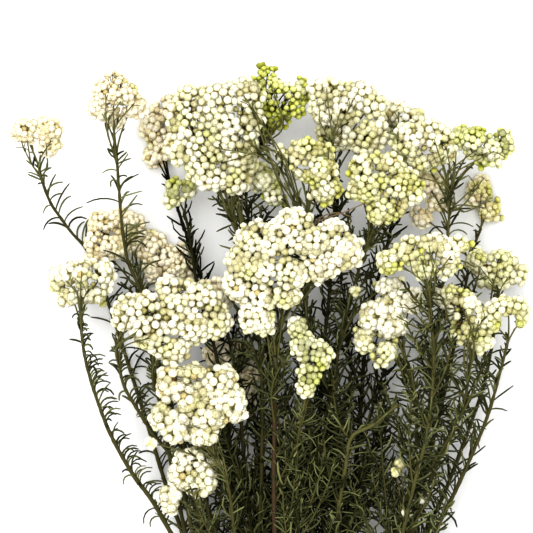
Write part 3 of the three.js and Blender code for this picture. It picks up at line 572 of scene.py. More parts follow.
# Stalks from the top of a stem to the hubs under the lobes, and stalklets from there to the buds
HUB_SHARE = 0.62
STALK_PLACES = 8
STALK_STEP = 2.6 * MM
STALK_TOP = 1 * MM
STALK_BEND = 0.35
STALK_STRAY = 0.04
STALKLET_BEND = 0.45
STALKLET_PLACES = 3
LEAFY_STALK = 8 * MM

# Side shoots at seeded places
SHOOT_SPAN = (0.08, 0.5)
SHOOT_STRAY = 0.08
SHOOT_LENGTHS = (0.7, 1.25)
SHOOT_SPREAD = 0.4
SHOOT_SPREADS = (0.5, 1.2)
SHOOT_LIFTS = (-0.1, 0.12)
SHOOT_BEND = (0.45, 0.75)
SHOOT_PLACES = 16
SHOOT_LOWEST = 4 * MM

# Stalks in front of heads, and their twigs
FAN_FEET = (3, 12)
FAN_STRAY = 2 * MM
FAN_CLEARANCE = 3 * MM
FAN_DIP = 4 * MM
TWIGS_A_BRANCH = 2
TWIG_LENGTHS = (5, 9)
TWIG_BEND = 3 * MM
TWIG_STRAY = 0.5
TWIG_DROPS = (0, 2)
TWIG_PLACES = 4

# Leaves: the rows of a straight and of a hooked one, the width at each row, and how they stray. They get
# shorter towards the top of a stem, and some are left out on its upper side.
LEAF_ROWS = (0, 0.3, 0.65, 0.93, 1)
LEAF_WIDTHS = (0.7, 1, 1, 0.7, 0)
LEAF_KEEL = -1.4
HOOKED_ROWS = (0, 0.18, 0.36, 0.55, 0.75, 0.93, 1)
HOOKED_TURN = 50
LEAST_TURN = 0.05
SPOT_STRAY = 0.4
ROUND_STRAY = 0.25
PULL_STRAY = 0.55
PULL_OVER = 0.25
LEAF_SIZES = (0.7, 1.15)
LEAF_WIDTH_STRAY = (0.8, 1.15)
TOP_STRETCH = 25 * MM
TOP_LEAST = 0.45
CLEARED_TOP = 0.65
HEAD_MARGIN = 0.5 * MM
# Stretches without leaves at the foot and the top
STEM_BARE = (24 * MM, 2 * MM)
STALK_BARE = (2 * MM, 5 * MM)
SHOOT_BARE = (3 * MM, 0.5 * MM)
FAN_BARE = (4 * MM, 3 * MM)

# Least heights above the floor
BUD_FEET_LEAST = 0.3 * MM
BUDS_LEAST = 0.05 * MM
LEAVES_LEAST = 0.4 * MM

# Bark and the cut end
BARK_RELIEF = 0.35 * MM
BARK_GRAIN = np.array([2.2, 9, 2.2]) * MM
FINE_BARK = 2.3
FINE_BARK_SHARE = 0.5
DEEPEST_BARK = 0.9
CUT_EDGE = 0.8 * MM
CUT_FACING = -0.7
CUT_FLAT = 0.3
RING_WIDTH = 0.55 * MM

# Colours, as linear red, green and blue
WHITE_STOPS = (
    (0.0, (0.26, 0.22, 0.07)), (0.25, (0.49, 0.44, 0.20)), (0.5, (0.78, 0.745, 0.54)),
    (0.8, (0.87, 0.855, 0.735)), (1.0, (0.89, 0.88, 0.79)),
)
DULL_STOPS = (
    (0.0, (0.55, 0.47, 0.25)), (0.25, (0.72, 0.645, 0.40)), (0.5, (0.84, 0.785, 0.60)),
    (0.8, (0.88, 0.84, 0.70)), (1.0, (0.90, 0.86, 0.75)),
)
GREEN_STOPS = (
    (0.0, (0.10, 0.112, 0.008)), (0.25, (0.185, 0.21, 0.012)), (0.5, (0.34, 0.375, 0.028)),
    (0.8, (0.55, 0.585, 0.12)), (1.0, (0.77, 0.795, 0.33)),
)
WORN_TAN = (0.62, 0.48, 0.26)
# The inner buds' colour, partly their own duller tone and partly painted shade, which also darkens clump
# edges and the lowest clumps
INNER_AND_SHADE_COLOURS = {"white": (0.35, 0.315, 0.105), "dull": (0.62, 0.52, 0.28), "green": (0.19, 0.20, 0.025)}
INNER_AND_SHADE_SHARE = 0.85
HEART_GOLD = (0.58, 0.5, 0.26)
DRY_BROWN = (0.11, 0.065, 0.025)
STREAK_COLOUR = (0.72, 0.66, 0.5)
STEM_OLIVE = (0.085, 0.09, 0.032)
STEM_BROWN = (0.085, 0.066, 0.028)
STEM_WOODY = (0.075, 0.05, 0.028)
STALK_FRESH = (0.15, 0.145, 0.06)
TWIG_TAN = (0.27, 0.205, 0.13)
LEAF_STOPS = ((0.0, (0.06, 0.064, 0.025)), (0.6, (0.036, 0.04, 0.016)), (1.0, (0.05, 0.05, 0.025)))
# Painted light: the colour of leaves drawn as if lit
PAINTED_LEAF_LIGHT = (0.33, 0.35, 0.16)
# Painted shade in small patches over the foliage
LEAF_SHADOW = (0.4, 0.4, 0.35)
# Painted shade on foliage: darkest at the back height, none at the front height and above
BACK_SHADOW = (0.07, 0.07, 0.065)
BACK_HEIGHT = 12 * MM
FRONT_HEIGHT = 64 * MM
BARK_DARK = (0.07, 0.044, 0.026)
BARK_LIGHT = (0.16, 0.11, 0.07)
CUT_DARK = (0.36, 0.24, 0.12)
CUT_LIGHT = (0.58, 0.45, 0.27)
FLOOR_DARK = (0.765, 0.765, 0.76)
FLOOR_LIGHT = (0.785, 0.785, 0.78)
NO_SHADOW = (1, 1, 1)

# How strongly colours mix, and the sizes of their patches
WORN_SHARES = {"white": 0.12, "dull": 0.2, "green": 0.1}
STREAK_SHARE = 0.16
STREAK_SIZE = 0.9 * MM
OLIVE_SIZE = 6 * MM
PAINTED_LEAF_LIGHT_SHARE = 0.7
SHADE_MOTTLE_SHARE = 0.5
SHADE_MOTTLE_SIZE = 1.2 * MM
BARK_SIZE = 5 * MM
GRAIN_SHARE = 0.6
GRAIN_SIZE = 0.8 * MM
FLOOR_PATCH = 0.4
ROUGH_SIZE = 1.5 * MM
ROUGH_STRAY = 0.15
BUMP_STRENGTH = 0.6
# Detail of the noise
COARSE, MIDDLE, FINE, FINEST = 2, 3, 4, 5
# Roughness, and the height and width of the bumps; the floor also has how much its roughness strays
BLOSSOM_FINISH = (0.62, 0.06 * MM, 0.35 * MM)
FOLIAGE_FINISH = (0.55, 0.08 * MM, 0.5 * MM)
WOOD_FINISH = (0.75, 0.3 * MM, 0.9 * MM)
FLOOR_FINISH = (0.9, 0.01 * MM, 5 * MM, 0.05)
BLOSSOM_SHINE, FOLIAGE_SHINE, WOOD_SHINE = 0.12, 0.08, 0.2

WORLD_STRENGTH = 0.85
SUN_STRENGTH = 2.3
SUN_SPREAD = 46
SUN_TILT = (-8, -6, 0)
FLOOR_HALF = 20


# Small helpers

def lengths(vectors):
    return np.linalg.norm(vectors, axis=-1, keepdims=True)


def unit(vectors):
    return vectors / np.maximum(lengths(vectors), 1e-12)


def distances(path):
    """How far along a path each of its places is."""
    return np.concatenate([[0], np.cumsum(lengths(np.diff(path, axis=0))[:, 0])])


def read_at(spots, run, values):
    """Places or directions at given distances along a path, where run is how far along each value is."""
    return np.stack([np.interp(spots, run, values[:, axis]) for axis in range(3)], axis=-1)


def raise_to(points, least):
    """Lifts the points that are lower than the least height."""
    points[..., 2] = np.maximum(points[..., 2], least)


def new_object(name, data):
    made = bpy.data.objects.new(name, data)
    bpy.context.scene.collection.objects.link(made)
    return made


def smooth_path(points, spacing):
    """Evenly spaced places along the smooth curve through the points, the same curve as in the frame."""
    points = np.array(points)
    padded = np.vstack([2 * points[0] - points[1], points, 2 * points[-1] - points[-2]])
    steps = np.sqrt(lengths(np.diff(padded, axis=0)))
    share = np.linspace(0, 1, PATH_DETAIL, endpoint=False)[:, None]
    dense = []
    for i in range(len(points) - 1):
        p0, p1, p2, p3 = padded[i:i + 4]
        d0, d1, d2 = steps[i:i + 3]
        leave = ((p1 - p0) / d0 - (p2 - p0) / (d0 + d1) + (p2 - p1) / d1) * d1
        arrive = ((p2 - p1) / d1 - (p3 - p1) / (d1 + d2) + (p3 - p2) / d2) * d1
        square = 3 * (p2 - p1) - 2 * leave - arrive
        cube = 2 * (p1 - p2) + leave + arrive
        dense.append(p1 + leave * share + square * share ** 2 + cube * share ** 3)
    dense = np.vstack(dense + [points[-1:]])
    run = distances(dense)
    count = max(2, round(run[-1] / spacing) + 1)
    return read_at(np.linspace(0, run[-1], count), run, dense)


def headings(path):
    return unit(np.gradient(path, axis=0))


def across_axes(tangents):
    """Two directions across each tangent: to its side, and to its top."""
    up = np.zeros_like(tangents)
    up[..., 2] = 1
    top = unit(up - tangents * tangents[..., 2:])
    return np.cross(top, tangents), top


class Shape:
    """Points and faces gathered from many small forms, and one number a point for each named quality."""

    def __init__(self):
        self.points = []
        self.faces = []
        self.qualities = {}
        self.count = 0

    def add(self, points, faces, **qualities):
        for block in faces:
            self.faces.extend((block + self.count).tolist())
        self.points.append(points)
        self.count += len(points)
        for name, values in qualities.items():
            self.qualities.setdefault(name, []).append(np.broadcast_to(values, len(points)))

    def to_piece(self, name, material, slot, *replaced):
        mesh = bpy.data.meshes.new(name)
        points = np.concatenate(self.points)
        raise_to(points, 0)
        mesh.from_pydata(points.tolist(), [], self.faces)
        for quality, values in self.qualities.items():
            layer = mesh.attributes.new(quality, "FLOAT", "POINT")
            layer.data.foreach_set("value", np.concatenate(values).astype(np.float32))
        mesh.shade_smooth()
        mesh.materials.append(material)
        piece = new_object(name, mesh)
        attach(piece, "root")
        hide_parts(*replaced)


def ring_faces(rings, sides):
    """The quads of a skin over rings of points that follow one another."""
    start = np.arange(rings - 1)[:, None] * sides
    here = np.arange(sides)
    after = (here + 1) % sides
    quads = np.stack([start + here, start + after, start + sides + after, start + sides + here], axis=-1)
    return quads.reshape(-1, 4)


def tip_faces(first, sides, tip):
    """The triangles from a ring of points, given by its first, to a tip."""
    here = np.arange(sides)
    return np.stack([first + here, first + (here + 1) % sides, np.full(sides, tip)], axis=-1)


def tube(path, radii, sides, capped=True):
    """A round skin along a path, with a cap at each end."""
    side, top = across_axes(headings(path))
    angles = np.linspace(0, 2 * math.pi, sides, endpoint=False)
    rim = np.cos(angles)[None, :, None] * side[:, None] + np.sin(angles)[None, :, None] * top[:, None]
    points = path[:, None] + rim * np.broadcast_to(radii, len(path))[:, None, None]
    faces = [ring_faces(len(path), sides)]
    if capped:
        cap = np.arange(sides)[None]
        faces += [cap[:, ::-1], cap + (len(path) - 1) * sides]
    return points.reshape(-1, 3), faces


def copies(form, origins, axes, sizes, draw):
    """Copies of a form that stand at the origins along the axes, each turned about its own axis."""
    points, faces = form
    turns = draw.uniform(0, 2 * math.pi, len(origins))[:, None]
    helper = np.where(np.abs(axes[:, 2:]) < NEAR_UPRIGHT, [[0, 0, 1]], [[1, 0, 0]])
    first = unit(np.cross(helper, axes))
    second = np.cross(axes, first)
    across = np.cos(turns) * first + np.sin(turns) * second
    frames = np.stack([across, np.cross(axes, across), axes], axis=2)
    placed = np.einsum("nij,vj->nvi", frames, points) * sizes[:, None, None] + origins[:, None]
    shift = (np.arange(len(origins)) * len(points))[:, None, None]
    return placed.reshape(-1, 3), [(block[None] + shift).reshape(-1, block.shape[1]) for block in faces]


# Buds

def bud_radius(height):
    return np.interp(height, BUD_HEIGHTS, BUD_RADII)


def bract(angle, low, high, spread, swell, opening, rows):
    """One papery bract: a rounded shell that follows the bud from low to high, or leans out from it."""
    along = np.array(rows)[:, None]
    rounded = np.sqrt(np.clip(1 - ((along - BRACT_WAIST) / (1 - BRACT_WAIST)) ** 2, 0, 1))
    widening = BRACT_FOOT_WIDTH + (1 - BRACT_FOOT_WIDTH) * along / BRACT_WAIST
    wide = np.where(along < BRACT_WAIST, widening, rounded)
    over = np.array([-1, 0, 1])[None]
    height = low + (high - low) * along - BRACT_DROOP * opening * along ** 3 + 0 * over
    turn = angle + spread * wide * over
    radius = bud_radius(height) * swell + opening * BRACT_LEAN * along ** 2 + BRACT_TILT * over * wide
    points = np.stack([radius * np.cos(turn), radius * np.sin(turn), height], axis=-1)
    count = len(rows)
    flat = np.vstack([points[:-1].reshape(-1, 3), points[-1, 1]])
    corners = [row * 3 + side for row in range(count - 2) for side in (0, 1)]
    quads = [[corner, corner + 1, corner + 4, corner + 3] for corner in corners]
    tip = 3 * (count - 1)
    return flat, np.array(quads), np.array([[tip - 3, tip - 2, tip], [tip - 2, tip - 1, tip]])


def bud_form(opening, layers):
    """A bud one unit high, and how far each point is from its golden heart (0) to its white tips (1)."""
    shape = Shape()
    tips = []
    heart_rows = np.array(HEART_ROWS)
    rim = np.linspace(0, 2 * math.pi, HEART_SIDES, endpoint=False)
    radii = bud_radius(heart_rows) * HEART_FIT
    heart = np.stack([
        radii[:, None] * np.cos(rim), radii[:, None] * np.sin(rim), heart_rows[:, None] + 0 * rim,
    ], axis=-1).reshape(-1, 3)
    crown = np.array([[0, 0, CROWN_HEIGHT - CROWN_DROP * opening]])
    last = (len(heart_rows) - 1) * HEART_SIDES
    fans = tip_faces(last, HEART_SIDES, len(heart))
    shape.add(np.vstack([heart, crown]), [ring_faces(len(heart_rows), HEART_SIDES), fans])
    tips.append(np.append(np.repeat(HEART_TIPS, HEART_SIDES), HEART_TIPS[-1]))
    for number, (low, high, spread, swell, first_tip, last_tip, share) in enumerate(layers):
        for k in range(BRACTS_A_LAYER):
            angle = 2 * math.pi * (k + 0.5 * number) / BRACTS_A_LAYER
            rows = BRACT_ROWS if number else OUTER_BRACT_ROWS
            points, quads, fans = bract(angle, low, high, spread, swell, opening * share, rows)
            shape.add(points, [quads, fans])
            part = np.clip((points[:, 2] - low) / (high - low), 0, 1)
            tips.append(first_tip + (last_tip - first_tip) * part)
    blocks = [np.array([face for face in shape.faces if len(face) == size]) for size in (3, 4)]
    return (np.concatenate(shape.points), blocks), np.concatenate(tips)


def onto_skin(places, middles, halves, depth):
    """Places moved to a depth under the smooth skin over all the lobes of a head, the way out of the skin
    at each, and the nearest lobe."""
    for _ in range(SKIN_ROUNDS):
        apart = places[:, None] - middles
        far = np.maximum(lengths(apart / halves), 1e-6)
        slopes = apart / halves ** 2 / far
        steep = np.maximum(lengths(slopes), 1e-6)
        gaps = (far - 1) / steep
        least = gaps.min(axis=1, keepdims=True)
        weights = np.exp((least - gaps) / LOBE_BLEND)
        outward = unit((weights * slopes / steep).sum(axis=1))
        gap = least[:, 0] - LOBE_BLEND * np.log(weights.sum(axis=1))
        places = places - outward * (gap + depth)
    return places, outward, gaps[..., 0].argmin(axis=1)


def thinned(places, order, least):
    """The places kept, taken in order, so that no two are nearer than the least distance."""
    chosen = []
    for i in order:
        if not chosen or lengths(places[chosen] - places[i]).min() > least:
            chosen.append(i)
    return chosen


def on_lobes(lobes, depth, pitch, lowest, lowest_side, draw):
    """Places spread evenly over the outside of a head, the way out at each, and the lobe that it is on."""
    middles = np.array([middle for middle, _ in lobes])
    halves = np.array([half for _, half in lobes])
    owners = np.repeat(np.arange(len(lobes)), CANDIDATES)
    places = middles[owners] + halves[owners] * unit(draw.normal(size=(len(owners), 3)))
    deepest = lengths((places[:, None] - middles) / halves)[..., 0].min(axis=1)
    places, outward, _ = onto_skin(places[deepest > LOBE_MERGE], middles, halves, depth)
    places = places[outward[:, 2] > lowest_side]
    places = places[thinned(places, draw.permutation(len(places)), FIRST_SPACING * pitch)]
    for _ in range(SPREAD_ROUNDS):
        apart = places[:, None] - places
        gap = lengths(apart) + 1e-9
        push = apart / gap * np.where(gap < PUSH_REACH * pitch, PUSH_REACH * pitch - gap, 0)
        places, outward, _ = onto_skin(places + PUSH_STEP * push.sum(axis=1), middles, halves, depth)
        raise_to(places, lowest)
    kept = np.flatnonzero(outward[:, 2] > lowest_side)
    kept = kept[thinned(places[kept], range(len(kept)), LAST_SPACING * pitch)]
    places, outward, owners = onto_skin(places[kept], middles, halves, depth)
    places = places + outward * draw.normal(0, BUD_STRAY, (len(places), 1))
    raise_to(places, lowest)
    return places, outward, owners


def carriers(number):
    """The stems that carry a head, each with the lobes that its stalks reach."""
    every = range(len(HEADS[number]["lobes"]))
    return [(stem, stem["reached"] or every) for stem in LEAFY_STEMS.values() if number in stem["heads"]]


def stem_place(stem, share):
    path = stem["line"]
    return path[int(round(share * (len(path) - 1)))]


def lobe_hubs(number, head):
    """The place under each lobe of a head where its stalk parts into stalklets, and the stem that carries
    it."""
    hubs = []
    for index, (middle, half) in enumerate(head["lobes"]):
        able = [stem for stem, reached in carriers(number) if index in reached]
        able = able or [stem for stem, _ in carriers(number)]
        feet = [stem_place(stem, stem["side_heads"].get(number, 1)) for stem in able]
        nearest = int(np.argmin([lengths(middle - foot)[0] for foot in feet]))
        towards = unit(feet[nearest] - middle)
        reach = 1 / lengths(towards / half)[0]
        hubs.append((middle + HUB_SHARE * reach * towards, able[nearest]))
    return hubs


def unripe(places, level, draw):
    """How green each bud is: patches of unripe buds, and some stray."""
    patches = np.array([noise.noise(place / GREEN_PATCH) for place in places])
    stray = draw.normal(0, GREEN_STRAY, len(places))
    return np.clip(level + GREEN_SPREAD * level ** 0.5 * patches + stray, 0, 1)


def clumps_of(places, head, level, draw):
    """The middles of a head's clumps, how far each rises, and which have golden hearts or lie lowest."""
    centres = places[thinned(places, draw.permutation(len(places)), CLUMP_PITCH)]
    rises = draw.normal(0, CLUMP_RISE, len(centres))
    golden = draw.random(len(centres)) < head.get("golden", GOLD_SHARES[head["look"]])
    lowest = rises < np.quantile(rises, min(FRESH_SHARE * level, FRESH_MOST))
    return centres, rises, golden, lowest


def add_buds(shape, forms, kinds, feet, axes, sizes, looks, draw):
    """Buds of several kinds, with the qualities that their colours are made from."""
    for kind, (form, tips) in enumerate(forms):
        chosen = np.flatnonzero(kinds == kind)
        if len(chosen):
            points, faces = copies(form, feet[chosen], axes[chosen], sizes[chosen], draw)
            raise_to(points, BUDS_LEAST)
            spread = {name: np.repeat(values[chosen], len(tips)) for name, values in looks.items()}
            shape.add(points, faces, tip=np.tile(tips, len(chosen)), **spread)


def dress_head(number, head):
    """The buds of a head in two layers: the outer ones that show, and smaller ones in the gaps. They stand
    in clumps that fan out from their middles, with gaps between, and greener buds in the lowest ones. The
    inner buds, partly in their own duller colour, and the buds at clump edges and in the lowest clumps get
    painted shade."""
    draw = np.random.default_rng(HEAD_SEED + number)
    look = head["look"]
    width = BUD_WIDTHS[look] * head["larger"]
    shares = BUD_SHARES["open" if head["open"] else look]
    level = max(GREEN_LEVEL[look] + head["tinge"], 0)
    shape = Shape()
    head["hubs"] = lobe_hubs(number, head)
    head["stalklets"] = []
    hubs = np.array([hub for hub, _ in head["hubs"]])
    pitch = width * (LOOSE_PITCH if head["loose"] else BUD_PITCH)
    layers = (
        (0, OUTER_DEPTH, pitch, BUD_FORMS, 1, LOWEST_SIDE),
        (1, INNER_DEPTH, INNER_PITCH * width, INNER_FORMS, INNER_SIZE, INNER_LOWEST_SIDE),
    )
    extra = head["wider"] * MM
    lobes = [(middle, half + extra * LOBE_SPREAD) for middle, half in head["lobes"]]
    clumps = None
    for inner, depth, apart, forms, size, lowest_side in layers:
        floor = 0.5 * width * size
        places, outward, owners = on_lobes(lobes, depth, apart, floor, lowest_side, draw)
        clumps = clumps or clumps_of(places, head, level, draw)
        centres, rises, golden, lowest = clumps
        steps = places[:, None] - centres
        nearest = lengths(steps)[..., 0].argmin(axis=1)
        steps = steps[np.arange(len(places)), nearest]
        reach = lengths(steps)[:, 0]
        edge = np.clip(reach / CLUMP_REACH, 0, CLUMP_EDGE)
        gold = golden[nearest] * (reach < GOLD_REACH) * (1 - inner)
        sunk = head["clumping"] * CLUMP_DEPTH * edge ** 2 * (1 - INNER_SINK * inner)
        sunk = sunk - rises[nearest] + GOLD_SINK * gold
        dropped = CLUMP_GAP * head["clumping"] * (1 - inner)
        kept = (edge < 1) | (draw.random(len(places)) > dropped)
        places = (places - outward * sunk[:, None])[kept]
        outward, owners, steps, edge, gold, nearest = (
            values[kept] for values in (outward, owners, steps, edge, gold, nearest)
        )
        fresh = lowest[nearest] * np.clip(FRESH_REACH - edge, 0, 1)
        raise_to(places, floor)
        away = unit(places - hubs[owners])
        axes = outward + HUB_PULL * away + CLUMP_FAN * steps / CLUMP_REACH
        axes = unit(axes + BUD_TILT * draw.normal(size=places.shape))
        sizes = size * width * draw.uniform(*BUD_SIZES, len(places)) * (1 - GOLD_SMALLER * gold)
        green = np.clip(unripe(places, level, draw) + FRESH_GREEN * fresh, 0, 1)
        sizes = sizes * (1 - GREEN_SMALLER * green)
        feet = places - axes * sizes[:, None] * 0.5
        raise_to(feet, BUD_FEET_LEAST)
        kinds = draw.choice(len(forms), len(places), p=None if inner else shares)
        shade = draw.uniform(0, 1, len(places))
        dry = inner * (draw.random(len(places)) < DRY_SHARE)
        # Painted shade, and for inner buds partly their own duller colour: inner buds, clump edges and the
        # lowest clumps are darkened
        inner_and_shade = np.clip(inner + EDGE_SHADE * edge ** 3 + FRESH_SHADE * fresh, 0, 1)
        looks = {"green": green, "shade": shade, "inner": inner_and_shade, "dry": dry, "gold": gold}
        add_buds(shape, forms, kinds, feet, axes, sizes, looks, draw)
        head["stalklets"].extend(zip(owners, feet, axes))
    solid = f"flower_head_{number:02d}"
    shape.to_piece(f"buds_{number:02d}", BLOSSOM_MATERIALS[look], BLOSSOM_SLOTS[look], solid)


# Leafy stems

def bent_line(foot, elbow, end, count):
    """A line of that many places that leaves the foot towards the elbow and then turns to the end."""
    rows = np.linspace(0, 1, count)[:, None]
    return (1 - rows) ** 2 * foot + 2 * rows * (1 - rows) * elbow + rows ** 2 * end


def add_rod(shape, line, radii, sides, young, back, draw, capped=True):
    """A stem, shoot or stalk. Back is how much painted shade darkens it low down, and young is for its
    colour.
    """
    points, faces = tube(line, radii, sides, capped)
    shape.add(points, faces, leaf=0.0, along=0.0, young=young, back=back, shade=draw.random())


def leaf_lines(feet, starts, hooks, turns, sizes, rows):
    """The middle lines of leaves: arcs that leave the feet along their starts and turn to their hooks."""
    turned = turns[:, None, None] * np.array(rows)[None, :, None]
    reach = (sizes / turns)[:, None, None]
    arcs = np.sin(turned) * starts[:, None] + (1 - np.cos(turned)) * hooks[:, None]
    return feet[:, None] + reach * arcs


def leaf_skins(lines, tangents, rows, draw):
    """Needle leaves along their middle lines, with blunt tips. The flat side faces the stem, and a keel
    runs along the back."""
    ahead = unit(np.gradient(lines, axis=1))
    flat = unit(np.cross(ahead, tangents[:, None]))
    keel = np.cross(flat, ahead)
    half = LEAF_HALF_WIDTH * np.interp(rows, LEAF_ROWS, LEAF_WIDTHS)[None, :, None]
    half = half * draw.uniform(*LEAF_WIDTH_STRAY, len(lines))[:, None, None]
    rings = np.stack([lines + flat * half, lines + keel * half * LEAF_KEEL, lines - flat * half], axis=2)
    count, last = len(lines), len(rows) - 1
    points = np.concatenate([rings[:, :-1].reshape(count, last * 3, 3), lines[:, -1:]], axis=1)
    raise_to(points, LEAVES_LEAST)
    shift = (np.arange(count) * points.shape[1])[:, None, None]
    sides = (ring_faces(last, 3) + shift).reshape(-1, 4)
    tips = (tip_faces((last - 1) * 3, 3, last * 3) + shift).reshape(-1, 3)
    along = np.concatenate([np.repeat(rows[:-1], 3), [1]])
    return points.reshape(-1, 3), [sides, tips], np.tile(along, count)


def inside_heads(points):
    hidden = np.zeros(len(points), bool)
    for head in HEADS.values():
        for middle, half in head["lobes"]:
            hidden |= lengths((points - middle) / (half + HEAD_MARGIN))[:, 0] < 1
    return hidden


def add_leaves(shape, path, style, bare, back, draw):
    """Leaves along a stem but for its bare ends, each a golden turn round from the one before."""
    run = distances(path)
    spots = np.arange(bare[0], run[-1] - bare[1], style["spacing"])
    spots = spots + draw.uniform(-SPOT_STRAY, SPOT_STRAY, len(spots)) * style["spacing"]
    feet = read_at(spots, run, path)
    tangents = unit(read_at(spots, run, headings(path)))
    side, top = across_axes(tangents)
    turns = np.arange(len(spots)) * GOLDEN_TURN + draw.normal(0, ROUND_STRAY, len(spots))
    if style["towards"]:
        pulled = draw.random(len(spots)) < style["pull"]
        aim = math.pi if style["towards"] > 0 else 0
        aimed = draw.normal(aim, PULL_STRAY, len(spots)) - PULL_OVER * style["towards"]
        turns = np.where(pulled, aimed, turns)
    radial = np.cos(turns)[:, None] * side + np.sin(turns)[:, None] * top
    lean = np.radians(draw.normal(style["lean"], style["stray"], len(spots)))[:, None]
    starts = np.cos(lean) * tangents + np.sin(lean) * radial
    hooks = np.cos(lean) * radial - np.sin(lean) * tangents + style["curl"] * draw.normal(size=feet.shape)
    hooks = unit(hooks - starts * (hooks * starts).sum(axis=1, keepdims=True))
    over = np.radians(draw.normal(style["turn"], style["turn_stray"], len(spots)))
    over = np.where(np.abs(over) < LEAST_TURN, LEAST_TURN, over)
    sizes = LEAF_LENGTH * style["length"] * draw.uniform(*LEAF_SIZES, len(spots))
    sizes = sizes * np.clip((run[-1] - spots) / TOP_STRETCH, TOP_LEAST, 1)
    rows = HOOKED_ROWS if style["turn"] > HOOKED_TURN else LEAF_ROWS
    lines = leaf_lines(feet, starts, hooks, over, sizes, rows)
    keep = ~(inside_heads(lines[:, -1]) | inside_heads(lines[:, 2]) | inside_heads(feet))
    keep &= draw.random(len(spots)) > CLEARED_TOP * np.clip(radial[:, 2], 0, 1)
    points, faces, along = leaf_skins(lines[keep], tangents[keep], rows, draw)
    each = len(along) // max(1, keep.sum())
    # How much painted light each leaf gets, most of them little
    shade = np.repeat(draw.random(keep.sum()) ** 2, each)
    shape.add(points, faces, leaf=1.0, along=along, young=OLIVE, back=back, shade=shade)


def add_stalks(shape, number, stem, back, draw):
    """The stalks that leave the top of a stem one above the other, each to the hub under a lobe, and from
    each hub the thin stalklets that end in the buds."""
    head = HEADS[number]
    top_run = stem["length"] * stem["side_heads"].get(number, 1)
    mine = [hub for hub, carrier in head["hubs"] if carrier is stem]
    run = distances(stem["line"])
    for order, hub in enumerate(mine):
        along = max(top_run - STALK_TOP - order * STALK_STEP, 0)
        foot = read_at(along, run, stem["line"])
        near = min(int(np.searchsorted(run, along)), len(run) - 1)
        reach = lengths(hub - foot)[0]
        elbow = foot + headings(stem["line"])[near] * STALK_BEND * reach
        elbow = elbow + draw.normal(size=3) * STALK_STRAY * reach
        line = bent_line(foot, elbow, hub, STALK_PLACES)
        add_rod(shape, line, np.linspace(*STALK_RADII, STALK_PLACES), STALK_SIDES, STALK_YOUTH, back, draw)
        if reach > LEAFY_STALK:
            add_leaves(shape, line, STALK_LEAVES, STALK_BARE, back, draw)
    for owner, foot, axis in head["stalklets"]:
        hub, carrier = head["hubs"][owner]
        if carrier is stem:
            elbow = foot - axis * STALKLET_BEND * lengths(foot - hub)[0]
            line = bent_line(hub, elbow, foot, STALKLET_PLACES)
            add_rod(shape, line, STALKLET_RADIUS, STALKLET_SIDES, FRESH, back, draw, capped=False)


def add_shoot(shape, line, back, draw):
    add_rod(shape, line, np.linspace(*SHOOT_RADII, len(line)), SHOOT_SIDES, SHOOT_YOUTH, back, draw)
    add_leaves(shape, line, SHOOT_LEAVES, SHOOT_BARE, back, draw)


def add_seeded_shoots(shape, count, stem, back, draw):
    """Leafy side shoots that leave a stem at seeded places and turn along with it."""
    path = stem["line"]
    side, top = across_axes(headings(path))
    for share in np.linspace(*SHOOT_SPAN, count):
        here = int((share + draw.uniform(-SHOOT_STRAY, SHOOT_STRAY)) * (len(path) - 1))
        length = SHOOT_LENGTH * draw.uniform(*SHOOT_LENGTHS)
        tangent = headings(path)[here]
        sideways = SHOOT_SPREAD * draw.uniform(*SHOOT_SPREADS) * draw.choice((-1, 1))
        lift = draw.uniform(*SHOOT_LIFTS)
        elbow = path[here] + length * (SHOOT_BEND[0] * tangent + SHOOT_BEND[1] * sideways * side[here])
        end = path[here] + length * (tangent + sideways * side[here] + lift * top[here])
        end[2] = max(end[2], SHOOT_LOWEST)
        add_shoot(shape, bent_line(path[here], elbow, end, SHOOT_PLACES), back, draw)


def skin_top(places):
    """The height of the top of the heads over or under each place, and 0 where there is none."""
    tops = np.zeros(len(places))
    for head in HEADS.values():
        for middle, half in head["lobes"]:
            apart = (((places - middle) / half)[:, :2] ** 2).sum(axis=1)
            rise = middle[2] + half[2] * np.sqrt(np.clip(1 - apart, 0, 1))
            tops = np.maximum(tops, np.where(apart < 1, rise, 0))
    return tops


def add_front_fan(shape, stem, bend, ends, draw):
    """Stalks that pass in front of a head and dip into it at their ends."""
    for end in ends:
        foot = stem["line"][-draw.integers(*FAN_FEET)]
        middle = at(*bend) + draw.normal(size=3) * FAN_STRAY
        line = smooth_path([foot, middle, at(*end)], FAN_DETAIL)
        shown = slice(len(line) // 2, None)
        line[shown, 2] = np.maximum(line[shown, 2], skin_top(line[shown]) + FAN_CLEARANCE)
        line[1:-1, 2] = (line[:-2, 2] + 2 * line[1:-1, 2] + line[2:, 2]) / 4
        line[-1, 2] -= FAN_DIP
        add_rod(shape, line, np.linspace(*FAN_RADII, len(line)), STALK_SIDES, STALK_YOUTH, 0, draw)
        add_leaves(shape, line, FAN_LEAVES, FAN_BARE, 0, draw)
        for _ in range(TWIGS_A_BRANCH):
            here = draw.integers(len(line) // 2, len(line) - 1)
            ahead = headings(line)[here]
            length = draw.uniform(*TWIG_LENGTHS) * MM
            twig_end = line[here] + length * unit(ahead + TWIG_STRAY * draw.normal(size=3))
            twig_end[2] = line[here][2] - draw.uniform(*TWIG_DROPS) * MM
            twig = bent_line(line[here], line[here] + TWIG_BEND * ahead, twig_end, TWIG_PLACES)
            add_rod(shape, twig, STALKLET_RADIUS, STALKLET_SIDES, FRESH, 0, draw)


def leaving_place(path, foot):
    """The place on a stem that is nearest to a pixel of the photograph."""
    return path[lengths((path - at(*foot, 0))[:, :2])[:, 0].argmin()]


